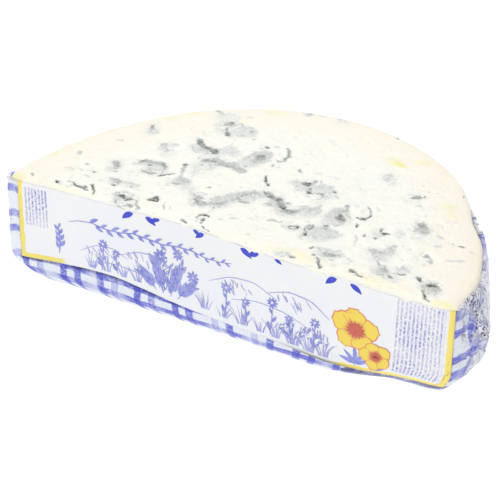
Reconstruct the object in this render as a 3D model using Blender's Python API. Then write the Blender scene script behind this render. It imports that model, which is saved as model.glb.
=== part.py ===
"""A half wheel of blue-veined cheese, cut level across, still sitting in its printed foil.

Three pieces: the cheese itself with its marbled cut face up, the thin foil tray folded round its
base, curved rim and straight front, and the printed panel that lies on the foil's front.
Metres, +Z up. The straight front faces -Y and the round rim is at +Y. The foil rests on Z = 0.

Inside the functions, X and Y are counted from the middle of the straight front, and the side is
drawn by its reach: the distance from a hub behind the front, at each angle about that hub.
"""

import bpy
import numpy as np

MM = 0.001

# Driving sizes of the half wheel
HALF_CHORD = 100 * MM    # half the width of the straight front
DEPTH = 113.6 * MM       # straight front to the back of the rim
HEIGHT = 51 * MM         # table to cut face
HUB = 48 * MM            # how far the hub lies behind the front
FRONT_Y = -55.5 * MM     # where the front stands, so that the whole is centred on the origin
CORNER_LEFT = 46         # tightness of the corner at -X; a higher number is a sharper corner
CORNER_RIGHT = 32

# Unevenness of a soft cheese: each swelling is its place, its half width and its height
FRONT_HOLLOW = (-50 * MM, 34 * MM, 1.6 * MM)  # placed along X: the top edge leans in at the left,
FRONT_SWELL = (60 * MM, 24 * MM, 2.0 * MM)    # leans out at the right,
FRONT_BELLY = (12 * MM, 35 * MM, 1.8 * MM)    # and the foot stands out in the middle
LEFT_EAR = (2 * MM, 10 * MM, 4.5 * MM)        # placed along Y: the rim beside the left corner,
RIGHT_EAR = (18 * MM, 16 * MM, 2.6 * MM)      # beside the right corner,
SHOULDER = (66 * MM, 20 * MM, 1.2 * MM)       # and farther back on the right
EAR_ZONE = (80 * MM, 95 * MM)                 # the ears rise between these distances from the middle
SHOULDER_ZONE = (30 * MM, 60 * MM)
EAR_TAPER = 0.4          # how much of an ear is gone at the cut face
BARREL = 4.0 * MM        # how far the right flank stands out at half height
BARREL_ZONE_X = (60 * MM, 90 * MM)
BARREL_ZONE_Y = (4 * MM, 24 * MM)

# The rounded foot, wider towards the right
FOOT_LEFT = 9 * MM
FOOT_RIGHT = 18 * MM
FOOT_ZONE = (42 * MM, 100 * MM)

# Foil, panel and the gaps that keep the pieces apart
GAP = 0.3 * MM
FOIL = 0.6 * MM
PANEL = 0.5 * MM
FOIL_DROP = 3.0 * MM     # from the cut face down to the foil's cut edge
FLARE = (32 * MM, 28 * MM, 1.4 * MM)          # placed along Y: the foil stands off the right flank
FLARE_ZONE_X = (70 * MM, 90 * MM)
FLARE_ZONE_Y = (6 * MM, 16 * MM)
FLARE_ZONE_Z = (20 * MM, 42 * MM)
FLARE_LEAN = 0.3         # how much of the flare goes backwards

# The panel's lower edge, above the table
PANEL_FOOT = 13.2 * MM
PANEL_RISE = (-52 * MM, 26 * MM, 3.4 * MM)    # it climbs at the left,
PANEL_DIP = (50 * MM, 30 * MM, 2.0 * MM)      # dips at the right,
PANEL_CORNER = 2.8 * MM                       # and turns up into the right corner
PANEL_CORNER_ZONE = (84 * MM, 98 * MM)

# The cut face and the lip of paste that has swollen over the foil's edge
LIP_DROP = 2.2 * MM
LIP_SWELL = 0.5 * MM
LIP_ROUND = 0.4 * MM     # the cut edge is a little worn down,
LIP_POWER = 30           # close to the edge only
WAVE = 0.35 * MM         # the wire left the face slightly wavy
WAVE_X = 17 * MM
WAVE_Y = 23 * MM
HOLLOWS_END = 0.05       # the hollows fade out over this share of the way in from the edge

# Fineness of the mesh
CELLS_WIDE = 62
CELLS_DEEP = 33
FOOT_ROWS = 3
WALL_ROWS = 3
PANEL_ROWS = 6

# The hollows that the blue mould has opened: place from the front's middle, length, width
# (millimetres), turn (degrees) and depth (millimetres)
HOLLOWS = (
    (-45, 84, 11, 8, 70, 2.0),
    (-35, 79, 12, 8, 10, 1.4),
    (-42, 61, 15, 7, -25, 1.8),
    (-31, 62, 11, 8, 0, 1.2),
    (-27, 51, 22, 7, 0, 1.6),
    (-18, 61, 14, 8, 75, 2.2),
    (-9, 68, 10, 8, 80, 1.6),
    (-54, 36, 13, 9, -15, 2.2),
    (-66, 27, 9, 6, 110, 1.5),
    (-36, 29, 12, 6, -10, 1.7),
    (-21, 22, 10, 7, -50, 1.9),
    (-8, 28, 20, 8, 35, 1.5),
    (5, 36, 16, 7, -20, 1.5),
    (14, 33, 14, 9, -35, 2.5),
    (23, 35, 10, 8, 0, 1.2),
    (11, 55, 11, 7, 15, 1.8),
    (19, 52, 11, 8, -10, 1.3),
    (35, 37, 15, 8, 70, 2.4),
    (43, 44, 12, 7, 80, 1.7),
    (33, 22, 15, 10, 30, 1.9),
    (22, 22, 7, 6, 0, 1.7),
    (54, 34, 8, 6, 60, 1.9),
    (66, 44, 10, 7, 105, 1.7),
    (60, 21, 12, 8, 50, 1.5),
    (72, 14, 8, 6, 20, 1.4),
    (65, 10, 7, 6, 0, 1.5),
    (43, 11, 9, 6, 0, 1.6),
    (86, 9, 10, 7, -40, 1.8),
    (-48, 9, 12, 6, -8, 1.8),
    (-38, 13, 7, 6, 0, 1.6),
    (77, 25, 8, 7, 0, 1.3),
)


def ease(t):
    """0 below 0, 1 above 1, and a smooth rise between."""
    t = np.clip(t, 0, 1)
    return t * t * (3 - 2 * t)


def rise(where, zone):
    """0 before the zone, 1 after it, and a smooth rise inside it."""
    start, end = zone
    return ease((where - start) / (end - start))


def swelling(where, shape):
    """A smooth hill: its full height at its place, and almost nothing two half widths away."""
    place, half_width, height = shape
    return height * np.exp(-(((where - place) / half_width) ** 2))


def rim_reach(angle, outward):
    """Reach of the round rim: half an ellipse, which stands on the straight front."""
    across, back = HALF_CHORD + outward, DEPTH + outward
    c, s = np.cos(angle), np.sin(angle)
    a = (c / across) ** 2 + (s / back) ** 2
    b = 2 * HUB * s / back**2
    d = (HUB / back) ** 2 - 1
    return (-b + np.sqrt(b * b - 4 * a * d)) / (2 * a)


def front_reach(angle, set_back):
    """Reach of the straight front, moved back by set_back; very far where it is never met."""
    s = np.sin(angle)
    faces_it = s < -0.001
    return np.where(faces_it, (HUB - set_back) / np.where(faces_it, -s, 1), 1000 * HALF_CHORD)


def side_x(angle):
    """X of the plain D, without its unevenness, at this angle."""
    return np.minimum(rim_reach(angle, 0), front_reach(angle, 0)) * np.cos(angle)


def foot_radius(x):
    """Radius of the rounded foot."""
    return FOOT_LEFT + (FOOT_RIGHT - FOOT_LEFT) * rise(x, FOOT_ZONE)


def outline(angle, height, outward):
    """X and Y of the side at this angle and height, moved outward from the skin.

    The straight front and the round rim are joined by a soft minimum of their two reaches,
    which rounds the two corners. The swellings are then added to the reach.
    """
    t = np.clip(height / HEIGHT, 0, 1)
    x = side_x(angle)
    set_back = t * (swelling(x, FRONT_HOLLOW) - swelling(x, FRONT_SWELL))
    set_back = set_back - (1 - t) * swelling(x, FRONT_BELLY)
    to_left = 0.5 - 0.5 * np.tanh(2 * x / HALF_CHORD)
    sharp = CORNER_RIGHT + (CORNER_LEFT - CORNER_RIGHT) * to_left
    joined = front_reach(angle, set_back - outward) ** -sharp + rim_reach(angle, outward) ** -sharp
    reach = joined ** (-1 / sharp)
    y = HUB + reach * np.sin(angle)
    taper = 1 - EAR_TAPER * t
    reach = reach + swelling(y, LEFT_EAR) * rise(-x, EAR_ZONE) * taper
    reach = reach + swelling(y, RIGHT_EAR) * rise(x, EAR_ZONE) * taper
    reach = reach + swelling(y, SHOULDER) * rise(x, SHOULDER_ZONE)
    flank = rise(x, BARREL_ZONE_X) * rise(y, BARREL_ZONE_Y)
    reach = reach + BARREL * flank * np.sin(np.pi * t)
    return reach * np.cos(angle), HUB + reach * np.sin(angle)


def skin(angle, height, outward):
    """Points at this height on the skin or parallel to it: the wall, and the foot's round below."""
    radius = foot_radius(side_x(angle))
    below = np.maximum(radius - height, 0)
    inwards = radius - np.sqrt(np.maximum((radius + outward) ** 2 - below**2, 0))
    height = np.broadcast_to(height, angle.shape)
    x, y = outline(angle, height, -inwards)
    return np.stack([x, FRONT_Y + y, height], -1)


def side_rings(angle, top, outward, foot_rows, wall_rows):
    """Rings from the floor, round the foot in equal turns, and then up the wall to the top."""
    radius = foot_radius(side_x(angle))
    turns = np.linspace(0, np.pi / 2, foot_rows + 1)
    rings = [skin(angle, radius - (radius + outward) * np.cos(turn), outward) for turn in turns]
    shares = np.linspace(0, 1, wall_rows + 1)[1:]
    return rings + [skin(angle, radius + (top - radius) * share, outward) for share in shares]


def even_angles(start, end, steps):
    """Angles that part the outline from start to end into equal lengths, the last one left out."""
    fine = np.linspace(start, end, 2000)
    x, y = outline(fine, HEIGHT, 0)
    along = np.concatenate([[0], np.cumsum(np.hypot(np.diff(x), np.diff(y)))])
    return np.interp(np.linspace(0, along[-1], steps + 1)[:-1], along, fine)


def perimeter_angles():
    """Angles round the D, one for each cell along the border of the cut face's grid."""
    left_corner = np.arctan2(-HUB, -HALF_CHORD)
    right_corner = np.arctan2(-HUB, HALF_CHORD)
    front = even_angles(left_corner, right_corner, CELLS_WIDE)
    rim = even_angles(right_corner, left_corner + 2 * np.pi, CELLS_WIDE + 2 * CELLS_DEEP)
    return np.concatenate([front, rim])


def ring_faces(rings, count):
    """Quads between neighbouring rings of count points, numbered ring by ring, facing outwards."""
    here = np.arange(count)
    after = (here + 1) % count
    one_band = np.stack([here, after, after + count, here + count], -1)
    return [tuple(face + count * k) for k in range(rings - 1) for face in one_band]


def grid_faces(wide, deep, first=0):
    """Quads of a grid of points numbered row by row from first."""
    row = wide + 1
    corners = [first + j * row + i for j in range(deep) for i in range(wide)]
    return [(k, k + 1, k + row + 1, k + row) for k in corners]


def new_object(name, points, faces, color, roughness, metallic):
    """A named object with its own material."""
    mesh = bpy.data.meshes.new(name)
    mesh.from_pydata(points.tolist(), [], [[int(corner) for corner in face] for face in faces])
    mesh.validate()
    made = bpy.data.objects.new(name, mesh)
    bpy.context.scene.collection.objects.link(made)
    material = bpy.data.materials.new(name)
    material.use_nodes = True
    shader = material.node_tree.nodes["Principled BSDF"]
    shader.inputs["Base Color"].default_value = (*color, 1)
    shader.inputs["Roughness"].default_value = roughness
    shader.inputs["Metallic"].default_value = metallic
    mesh.materials.append(material)
    mesh.shade_smooth()
    return made


def thicken(made, thickness, offset):
    """Gives an open skin its thickness: offset -1 puts it inside the skin, and 1 outside."""
    solidify = made.modifiers.new("thickness", "SOLIDIFY")
    solidify.thickness = thickness
    solidify.offset = offset
    solidify.use_even_offset = True


def hollow_depth(x, y):
    """How far the hollows sink the cut face: each is an oval dish, deepest in its middle."""
    depth = np.zeros_like(x)
    for place_x, place_y, length, width, turn, deep in HOLLOWS:
        c, s = np.cos(np.radians(turn)), np.sin(np.radians(turn))
        dx, dy = x - place_x * MM, y - place_y * MM
        along = (dx * c + dy * s) / (length * MM / 2)
        across = (dy * c - dx * s) / (width * MM / 2)
        dish = np.clip(1 - along**2 - across**2, 0, 1) ** 0.75
        depth = np.maximum(depth, deep * MM * dish)
    return depth


def grid_border():
    """Numbers of the grid's border points, from the front left corner round by the right."""
    index = np.arange((CELLS_WIDE + 1) * (CELLS_DEEP + 1)).reshape(CELLS_DEEP + 1, CELLS_WIDE + 1)
    return np.concatenate([index[0, :-1], index[:-1, -1], index[-1, :0:-1], index[:0:-1, 0]])


def cut_face(angle):
    """The cut face's points: a square grid drawn out to a disc, and the disc out to the D.

    A point u, v of the square goes to u sqrt(1 - v v / 2), v sqrt(1 - u u / 2) of the disc, so
    that there is no pole in the middle. The square's lower side becomes the straight front.
    """
    u, v = np.meshgrid(np.linspace(-1, 1, CELLS_WIDE + 1), np.linspace(-1, 1, CELLS_DEEP + 1))
    disc_x = (u * np.sqrt(1 - v * v / 2)).ravel()
    disc_y = (v * np.sqrt(1 - u * u / 2)).ravel()
    share, turn = np.hypot(disc_x, disc_y), np.arctan2(disc_y, disc_x)
    border = grid_border()
    border_turn = np.unwrap(turn[border])
    turn = np.where(turn < border_turn[0] - 1e-9, turn + 2 * np.pi, turn)
    all_round_turn = np.append(border_turn, border_turn[0] + 2 * np.pi)
    all_round_angle = np.append(angle, angle[0] + 2 * np.pi)
    here = np.interp(turn, all_round_turn, all_round_angle)
    here[border] = angle
    edge_x, edge_y = outline(here, HEIGHT, 0)
    x, y = edge_x * share, HUB + (edge_y - HUB) * share
    wave = WAVE * (np.sin(x / WAVE_X + 1) * np.cos(y / WAVE_Y) - 1) / 2
    worn = LIP_ROUND * share**LIP_POWER
    hollows = hollow_depth(x, y) * ease((1 - share) / HOLLOWS_END)
    return np.stack([x, FRONT_Y + y, HEIGHT + wave - worn - hollows], -1)


def make_cheese(angle):
    """The half wheel itself: rounded foot, wall, swollen lip and marbled cut face."""
    count = len(angle)
    inside = FOIL + GAP
    rings = side_rings(angle, HEIGHT - LIP_DROP, -inside, FOOT_ROWS, 1)
    rings.append(skin(angle, HEIGHT - LIP_DROP, LIP_SWELL))
    faces = ring_faces(len(rings), count)
    faces.append(range(count)[::-1])
    top = len(rings) * count
    lip = np.arange(top - count, top)
    edge = top + grid_border()
    faces.extend(zip(lip, np.roll(lip, -1), np.roll(edge, -1), edge))
    faces.extend(grid_faces(CELLS_WIDE, CELLS_DEEP, top))
    points = np.concatenate([*rings, cut_face(angle)])
    return new_object("cheese", points, faces, (0.95, 0.92, 0.80), 0.55, 0.0)


def flared(points):
    """Lets the foil stand off the cheese at the right flank, more towards its cut edge."""
    x, y, z = points.T
    back = y - FRONT_Y
    zone = rise(x, FLARE_ZONE_X) * rise(back, FLARE_ZONE_Y) * rise(z, FLARE_ZONE_Z)
    push = swelling(back, FLARE) * zone
    return points + np.stack([push, push * FLARE_LEAN, np.zeros_like(push)], -1)


def make_wrapper(angle):
    """The foil tray, closed under the base and open at the cut face."""
    rings = side_rings(angle, HEIGHT - FOIL_DROP, 0, FOOT_ROWS, WALL_ROWS)
    faces = ring_faces(len(rings), len(angle))
    faces.append(range(len(angle))[::-1])
    points = flared(np.concatenate(rings))
    made = new_object("wrapper", points, faces, (0.62, 0.63, 0.82), 0.35, 0.3)
    thicken(made, FOIL, -1)
    return made


def panel_foot(x):
    """Height of the panel's lower edge at this place along the front."""
    turned_up = PANEL_CORNER * rise(x, PANEL_CORNER_ZONE)
    return PANEL_FOOT + swelling(x, PANEL_RISE) - swelling(x, PANEL_DIP) + turned_up


def make_label(angle):
    """The printed panel on the foil's front, from corner to corner."""
    angle = angle[: CELLS_WIDE + 1]
    foot = panel_foot(side_x(angle))
    height = HEIGHT - FOIL_DROP - foot
    rows = [skin(angle, foot + height * share, GAP) for share in np.linspace(0, 1, PANEL_ROWS + 1)]
    faces = grid_faces(CELLS_WIDE, PANEL_ROWS)
    made = new_object("label", np.concatenate(rows), faces, (0.88, 0.89, 0.92), 0.4, 0.0)
    thicken(made, PANEL, 1)
    return made


def main():
    for old in list(bpy.data.objects):
        bpy.data.objects.remove(old)
    angle = perimeter_angles()
    make_cheese(angle)
    make_wrapper(angle)
    make_label(angle)


main()
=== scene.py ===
# %% [markdown]
# # Half a wheel of blue cheese in printed foil
# The real thing is half of a small soft wheel, cut level too, so that its marbled inside lies on
# top. The foil it was sold in is still folded round its base, its rim and its straight front, and
# a printed panel lies on the front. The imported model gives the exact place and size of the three
# solids. This script builds the surfaces that are seen: first the shapes, then their finishes.

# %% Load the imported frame
import functools
import itertools

import bpy
import numpy as np
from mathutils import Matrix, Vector


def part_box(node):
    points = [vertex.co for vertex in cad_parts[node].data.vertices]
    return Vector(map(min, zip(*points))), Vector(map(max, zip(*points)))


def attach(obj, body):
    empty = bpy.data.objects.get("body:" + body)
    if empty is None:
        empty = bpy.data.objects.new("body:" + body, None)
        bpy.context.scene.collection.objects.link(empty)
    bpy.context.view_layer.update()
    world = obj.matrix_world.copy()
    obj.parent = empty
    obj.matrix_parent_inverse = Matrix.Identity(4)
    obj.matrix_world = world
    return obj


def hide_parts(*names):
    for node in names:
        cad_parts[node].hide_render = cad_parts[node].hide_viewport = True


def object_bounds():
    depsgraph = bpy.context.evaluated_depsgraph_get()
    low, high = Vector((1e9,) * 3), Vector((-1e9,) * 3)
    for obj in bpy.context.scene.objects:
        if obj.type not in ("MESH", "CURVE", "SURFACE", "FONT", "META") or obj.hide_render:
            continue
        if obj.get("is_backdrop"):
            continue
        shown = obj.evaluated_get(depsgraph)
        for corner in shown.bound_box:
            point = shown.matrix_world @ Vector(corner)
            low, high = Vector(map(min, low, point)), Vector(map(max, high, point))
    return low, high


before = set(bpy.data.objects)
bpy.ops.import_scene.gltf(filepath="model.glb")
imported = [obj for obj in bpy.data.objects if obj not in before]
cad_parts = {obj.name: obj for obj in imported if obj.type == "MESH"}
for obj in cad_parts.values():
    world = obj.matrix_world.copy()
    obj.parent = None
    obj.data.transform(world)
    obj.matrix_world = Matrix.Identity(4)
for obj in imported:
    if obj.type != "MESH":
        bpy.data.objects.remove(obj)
cad_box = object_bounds()
MM = 0.001  # every size below is in millimetres, and a mesh is turned into metres as it is made
for node in sorted(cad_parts):
    low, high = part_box(node)
    print(f"{node}: from {[round(v / MM, 1) for v in low]} to {[round(v / MM, 1) for v in high]} mm")

# %% [markdown]
# ## The D-shaped side
# All the pieces lean on one side wall, so its shape is worked out once. It could be traced as a long
# list of points, but a few named sizes keep it smooth and easy to change. Seen from above it is a
# straight front joined to half an ellipse. A point of it is given by its angle about a hub behind
# the front. The same few sizes shape the solids, so the new surfaces lie on them, but for a few
# places where the soft cheese has sunk in or swollen by a millimetre or two.

# %% Sizes of the half wheel
HALF_CHORD, DEPTH, HEIGHT = 100, 113.6, 51    # half of the front, front to back, and height
HUB, FRONT_Y = 48, -55.5                      # the hub lies this far behind the front; the front's Y
CORNER_LEFT, CORNER_RIGHT = 46, 32            # a higher number is a sharper corner
FRONT_HOLLOW = (-50, 34, 1.6)                 # each swelling: its place, half width and height
FRONT_SWELL = (60, 24, 2.0)
FRONT_BELLY = (12, 35, 1.8)
LEFT_EAR, RIGHT_EAR, SHOULDER = (2, 10, 4.5), (18, 16, 2.6), (66, 20, 1.2)
EAR_ZONE, SHOULDER_ZONE, EAR_TAPER = (80, 95), (30, 60), 0.4
BARREL, BARREL_ZONE_X, BARREL_ZONE_Y = 4.0, (60, 90), (4, 24)
FOOT_LEFT, FOOT_RIGHT, FOOT_ZONE = 9, 24, (42, 100)
FOOT_MIDDLE, FOOT_CORNER, FOOT_CORNER_ZONE = (8, 42, 4), 6, (-100, -86)
SETTLED, SETTLED_ZONE = (174, 20, 2.6), (8, 40)      # sunk in at the back right, over these heights
FRONT_SUNK, SUNK_ZONE = ((-14, 27, 2.6), (56, 15, 1.8)), (26, 50)    # and in front, towards the top
FLANK_SWELL, FLANK_HEIGHT = (120, 13, 1.1), (28, 15, 1)    # swollen at the right flank, half way up
FOIL_DROP, PASTE_INSET = 3.0, 0.9    # the foil ends this far below the face; the paste lies this far in


def ease(t):
    """0 below 0, 1 above 1, and a smooth rise between: 3 t t - 2 t t t."""
    t = np.clip(t, 0, 1)
    return t * t * (3 - 2 * t)


def rise(where, zone):
    """0 before the zone, 1 after it, and a smooth rise inside it."""
    start, end = zone
    return ease((where - start) / (end - start))


def between(where, start, end):
    """0 before the start zone, 1 after it, and 0 again after the end zone."""
    return rise(where, start) * (1 - rise(where, end))


def swelling(where, shape):
    """A smooth hill: height times e to the minus square of the distance in half widths."""
    place, half_width, height = shape
    return height * np.exp(-(((where - place) / half_width) ** 2))


# %% Reach of the rim and of the front
def rim_reach(angle, outward):
    """Distance from the hub to half an ellipse that stands on the front: the r above 0 for which
    a r r + b r + d is 0."""
    across, back = HALF_CHORD + outward, DEPTH + outward
    c, s = np.cos(angle), np.sin(angle)
    a = (c / across) ** 2 + (s / back) ** 2
    b = 2 * HUB * s / back**2
    d = (HUB / back) ** 2 - 1
    return (-b + np.sqrt(b * b - 4 * a * d)) / (2 * a)


def front_reach(angle, set_back):
    """Distance from the hub to the straight front, and very far where it is never met."""
    s = np.sin(angle)
    faces_it = s < -0.001
    return np.where(faces_it, (HUB - set_back) / np.where(faces_it, -s, 1), 1000 * HALF_CHORD)


def side_x(angle):
    """X of the plain D at this angle."""
    return np.minimum(rim_reach(angle, 0), front_reach(angle, 0)) * np.cos(angle)


# %% The outline at any height
def outline(angle, height, outward):
    """X and Y of the side: the smaller reach of front and rim, plus swellings. The corner where they
    meet is rounded: both are raised to -sharp and added, and the sum is raised to -1 / sharp."""
    t = np.clip(height / HEIGHT, 0, 1)
    x = side_x(angle)
    set_back = t * (swelling(x, FRONT_HOLLOW) - swelling(x, FRONT_SWELL))
    set_back = set_back - (1 - t) * swelling(x, FRONT_BELLY)
    to_left = 0.5 - 0.5 * np.tanh(2 * x / HALF_CHORD)
    sharp = CORNER_RIGHT + (CORNER_LEFT - CORNER_RIGHT) * to_left
    near = front_reach(angle, set_back - outward) / HUB
    far = rim_reach(angle, outward) / HUB
    reach = HUB * (near**-sharp + far**-sharp) ** (-1 / sharp)
    y = HUB + reach * np.sin(angle)
    taper = 1 - EAR_TAPER * t
    reach = reach + swelling(y, LEFT_EAR) * rise(-x, EAR_ZONE) * taper
    reach = reach + swelling(y, RIGHT_EAR) * rise(x, EAR_ZONE) * taper
    reach = reach + swelling(y, SHOULDER) * rise(x, SHOULDER_ZONE)
    flank = rise(x, BARREL_ZONE_X) * rise(y, BARREL_ZONE_Y)
    reach = reach + BARREL * flank * np.sin(np.pi * t)
    return reach * np.cos(angle), HUB + reach * np.sin(angle)


# %% The rounded foot, the settled places, and the skin of the side
def foot_radius(angle):
    """Radius of the rounded foot: wider in the middle, at the left corner and most at the right."""
    x = side_x(angle)
    radius = FOOT_LEFT + (FOOT_RIGHT - FOOT_LEFT) * rise(x, FOOT_ZONE)
    return radius + swelling(x, FOOT_MIDDLE) + FOOT_CORNER * (1 - rise(x, FOOT_CORNER_ZONE))


def settled(angle, height):
    """How far the soft side has settled inwards: at the back right, and in two places in front
    towards the top. At the right flank it has swollen."""
    along = along_at(angle)
    inwards = swelling(along, SETTLED) * rise(height, SETTLED_ZONE)
    for hollow in FRONT_SUNK:
        inwards = inwards + swelling(along, hollow) * rise(height, SUNK_ZONE)
    return inwards - swelling(along, FLANK_SWELL) * swelling(height, FLANK_HEIGHT)


def skin(angle, height, outward):
    """Points at a height on the wall, or on the foot's round below it, moved outward."""
    radius = foot_radius(angle)
    outward = outward - settled(angle, height)
    below = np.maximum(radius - height, 0)
    inwards = radius - np.sqrt(np.maximum((radius + outward) ** 2 - below**2, 0))
    x, y = outline(angle, height, -inwards)
    return np.stack([x, FRONT_Y + y, height + np.zeros_like(x)], -1)


# %% [markdown]
# ## Distance along the wall
# The print on the foil and the folds in it follow the wall, as on a strip of paper. So a place on
# the wall is also named by how far along the strip it lies: 0 in the middle of the front, growing
# to the right, and falling to the left, until both ends meet at the middle of the back.

# %% Distance along the wall, from the middle of the front
def lengths_along(x, y):
    """Distance from the first of a row of points to each: the lengths between them, added up."""
    return np.concatenate([[0], np.cumsum(np.hypot(np.diff(x), np.diff(y)))])


TURNS = np.linspace(-1.5 * np.pi, 0.5 * np.pi, 20001)
ALONG = lengths_along(*outline(TURNS, HEIGHT / 2, 0))
ALONG = ALONG - np.interp(-np.pi / 2, TURNS, ALONG)
WALL_START, WALL_END = ALONG[0], ALONG[-1]
WALL_LENGTH = WALL_END - WALL_START


def angle_at(along):
    """The angle about the hub at a distance along the wall."""
    return np.interp(along, ALONG, TURNS)


def along_at(angle):
    """The distance along the wall at an angle about the hub."""
    turned = np.mod(angle + 1.5 * np.pi, 2 * np.pi) - 1.5 * np.pi
    return np.interp(turned, TURNS, ALONG)


LEFT_CORNER, RIGHT_CORNER = np.arctan2(-HUB, -HALF_CHORD), np.arctan2(-HUB, HALF_CHORD)
print(f"the wall is {WALL_LENGTH:.0f} mm round, with its corners at "
      f"{along_at(LEFT_CORNER):.1f} and {along_at(RIGHT_CORNER):.1f} mm")

# %% [markdown]
# ## Noise, folds and marks
# Soft paste, mould and crushed foil are all uneven. That unevenness could be sculpted, but a
# formula can be read and changed. Three tools make it, in whole arrays at once: smooth gradient
# noise, zigzag waves that add up to flat facets with sharp folds, and marks that are put down one
# by one like brush dabs and brush strokes.

# %% Smooth noise
SHUFFLE = np.tile(np.random.default_rng(11).permutation(256), 2)
SLOPES = np.random.default_rng(12).normal(size=(256, 3))
SLOPES = SLOPES / np.linalg.norm(SLOPES, axis=1, keepdims=True)


def strongest(layers):
    """The highest of several layers at each point, and nowhere below 0."""
    return functools.reduce(np.maximum, layers, 0)


def noise(x, y, layer=0.0, size=1.0):
    """Gradient noise, about -0.6 to 0.6: a random slope at each grid corner, smoothly mixed."""
    places = np.stack(np.broadcast_arrays(x / size, y / size, layer), -1)
    cell = np.floor(places).astype(int)
    inside = places - cell
    cell = cell & 255
    mix = inside**3 * (inside * (inside * 6 - 15) + 10)
    total = 0
    for corner in itertools.product((0, 1), repeat=3):
        a, b, c = np.moveaxis(cell + corner, -1, 0)
        slope = SLOPES[SHUFFLE[SHUFFLE[SHUFFLE[a] + b] + c]]
        weight = np.prod(np.where(corner, mix, 1 - mix), axis=-1)
        total = total + weight * np.sum(slope * (inside - corner), axis=-1)
    return total


def rough_noise(x, y, layer, size, octaves=3):
    """Layers of noise, each half as large and half as high as the last."""
    return sum(noise(x, y, layer + 7.3 * k, size / 2**k) / 2**k for k in range(octaves))


# %% Facets and folds
def zigzags(along, up, sizes, seed):
    """Zigzag waves from 0 to 1, one for each size, each in a drawn direction and bent by noise."""
    draw = np.random.default_rng(seed)
    for size in sizes:
        turn, shift = draw.uniform(0, np.pi), draw.uniform(0, 9)
        across = (along * np.cos(turn) + up * np.sin(turn)) / size
        bent = across + shift + 0.8 * noise(along, up, shift, 1.7 * size)
        yield np.abs(2 * (bent % 1) - 1)


def facets(along, up, sizes, seed):
    """Flat facets with sharp folds, 0 to 1: the waves added up, each as high as it is wide."""
    waves = zigzags(along, up, sizes, seed)
    return sum(size * wave for size, wave in zip(sizes, waves)) / sum(sizes)


def fold_lines(along, up, sizes, seed, at, wide=0.1):
    """The folds of the same waves as thin lines: the valleys at 0, the ridges at 1."""
    waves = zigzags(along, up, sizes, seed)
    return strongest(1 - np.clip(np.abs(wave - at) / wide, 0, 1) for wave in waves)


# %% Marks put down by hand: dabs and strokes
def dab(x, y, mark, edge):
    """An oval dab's cover, 0 to 1: full inside, and gone over a soft edge of that width."""
    place_x, place_y, length, width, turn = mark[:5]
    c, s = np.cos(np.radians(turn)), np.sin(np.radians(turn))
    dx, dy = x - place_x, y - place_y
    off = np.hypot((dx * c + dy * s) / (length / 2), (dy * c - dx * s) / (width / 2))
    return ease(0.5 + (1 - off) * min(length, width) / 2 / edge)


def distance_to_path(x, y, path):
    """Distance from each point to the nearest stretch of a path of x, y corners."""
    path = np.asarray(path, float).reshape(-1, 2)
    nearest = np.full(np.shape(x), 1e9)
    for (ax, ay), (bx, by) in zip(path[:-1], path[1:]):
        dx, dy = bx - ax, by - ay
        share = np.clip(((x - ax) * dx + (y - ay) * dy) / (dx * dx + dy * dy), 0, 1)
        nearest = np.minimum(nearest, np.hypot(x - ax - share * dx, y - ay - share * dy))
    return nearest


def stroke(x, y, width, path, edge):
    """A brush stroke's cover, 0 to 1, along a path."""
    return ease(0.5 + (width / 2 - distance_to_path(x, y, path)) / edge)


# %% [markdown]
# ## From arrays to meshes
# A surface here is a grid of points worked out by a formula, so its faces follow from counting.
# A mesh could be built point by point, but that is slow and hides the form. The helpers number the
# cells of such a grid and hand points, faces, print coordinates and named values to Blender in a few
# calls, with no loop over points.

# %% Helpers that make a piece from arrays
def grid_cells(rows, columns, closed, first=0):
    """Four corner numbers for each cell of a grid that is numbered row by row from first."""
    row = np.arange(rows - 1)[:, None]
    column = np.arange(columns if closed else columns - 1)[None, :]
    a = row * columns + column
    b = row * columns + (column + 1) % columns
    return first + np.stack([a, b, b + columns, a + columns], -1).reshape(-1, 4)


def sheet_cells(rows, columns):
    """Faces of a thin closed sheet: a front grid, a back grid turned round, and four edges."""
    front = grid_cells(rows, columns, False)
    back = grid_cells(rows, columns, False, rows * columns)[:, ::-1]
    index = np.arange(rows * columns).reshape(rows, columns)
    ring = np.concatenate([index[0, :-1], index[:-1, -1], index[-1, :0:-1], index[:0:-1, 0]])
    after = np.roll(ring, -1)
    edge = np.stack([ring, ring + rows * columns, after + rows * columns, after], -1)
    return np.concatenate([front, back, edge])


def new_piece(name, points, faces, finish, stands_for=(), print_map=None, values=None, flat=False):
    """Makes an object from points in millimetres and arrays of corner numbers."""
    mesh = bpy.data.meshes.new(name)
    corners = np.concatenate([part.ravel() for part in faces])
    sizes = np.concatenate([np.full(len(part), part.shape[1]) for part in faces])
    mesh.vertices.add(len(points))
    mesh.vertices.foreach_set("co", (points * MM).astype(np.float32).ravel())
    mesh.loops.add(len(corners))
    mesh.loops.foreach_set("vertex_index", corners.astype(np.int32))
    mesh.polygons.add(len(sizes))
    mesh.polygons.foreach_set("loop_start", (np.cumsum(sizes) - sizes).astype(np.int32))
    mesh.update(calc_edges=True)
    if print_map is not None:
        layer = mesh.uv_layers.new(name="print")
        layer.data.foreach_set("uv", print_map.astype(np.float32).ravel())
    for key, value in (values or {}).items():
        mesh.attributes.new(key, "FLOAT", "POINT").data.foreach_set("value", value.astype(np.float32))
    mesh.validate()
    if flat:
        mesh.shade_flat()
    else:
        mesh.shade_smooth()
    mesh.materials.append(finish)
    made = bpy.data.objects.new(name, mesh)
    bpy.context.scene.collection.objects.link(made)
    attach(made, "root")
    if stands_for:
        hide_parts(*stands_for)
    print(f"{name}: {len(points)} points, {int(np.sum(sizes - 2))} triangles")
    return made


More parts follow.
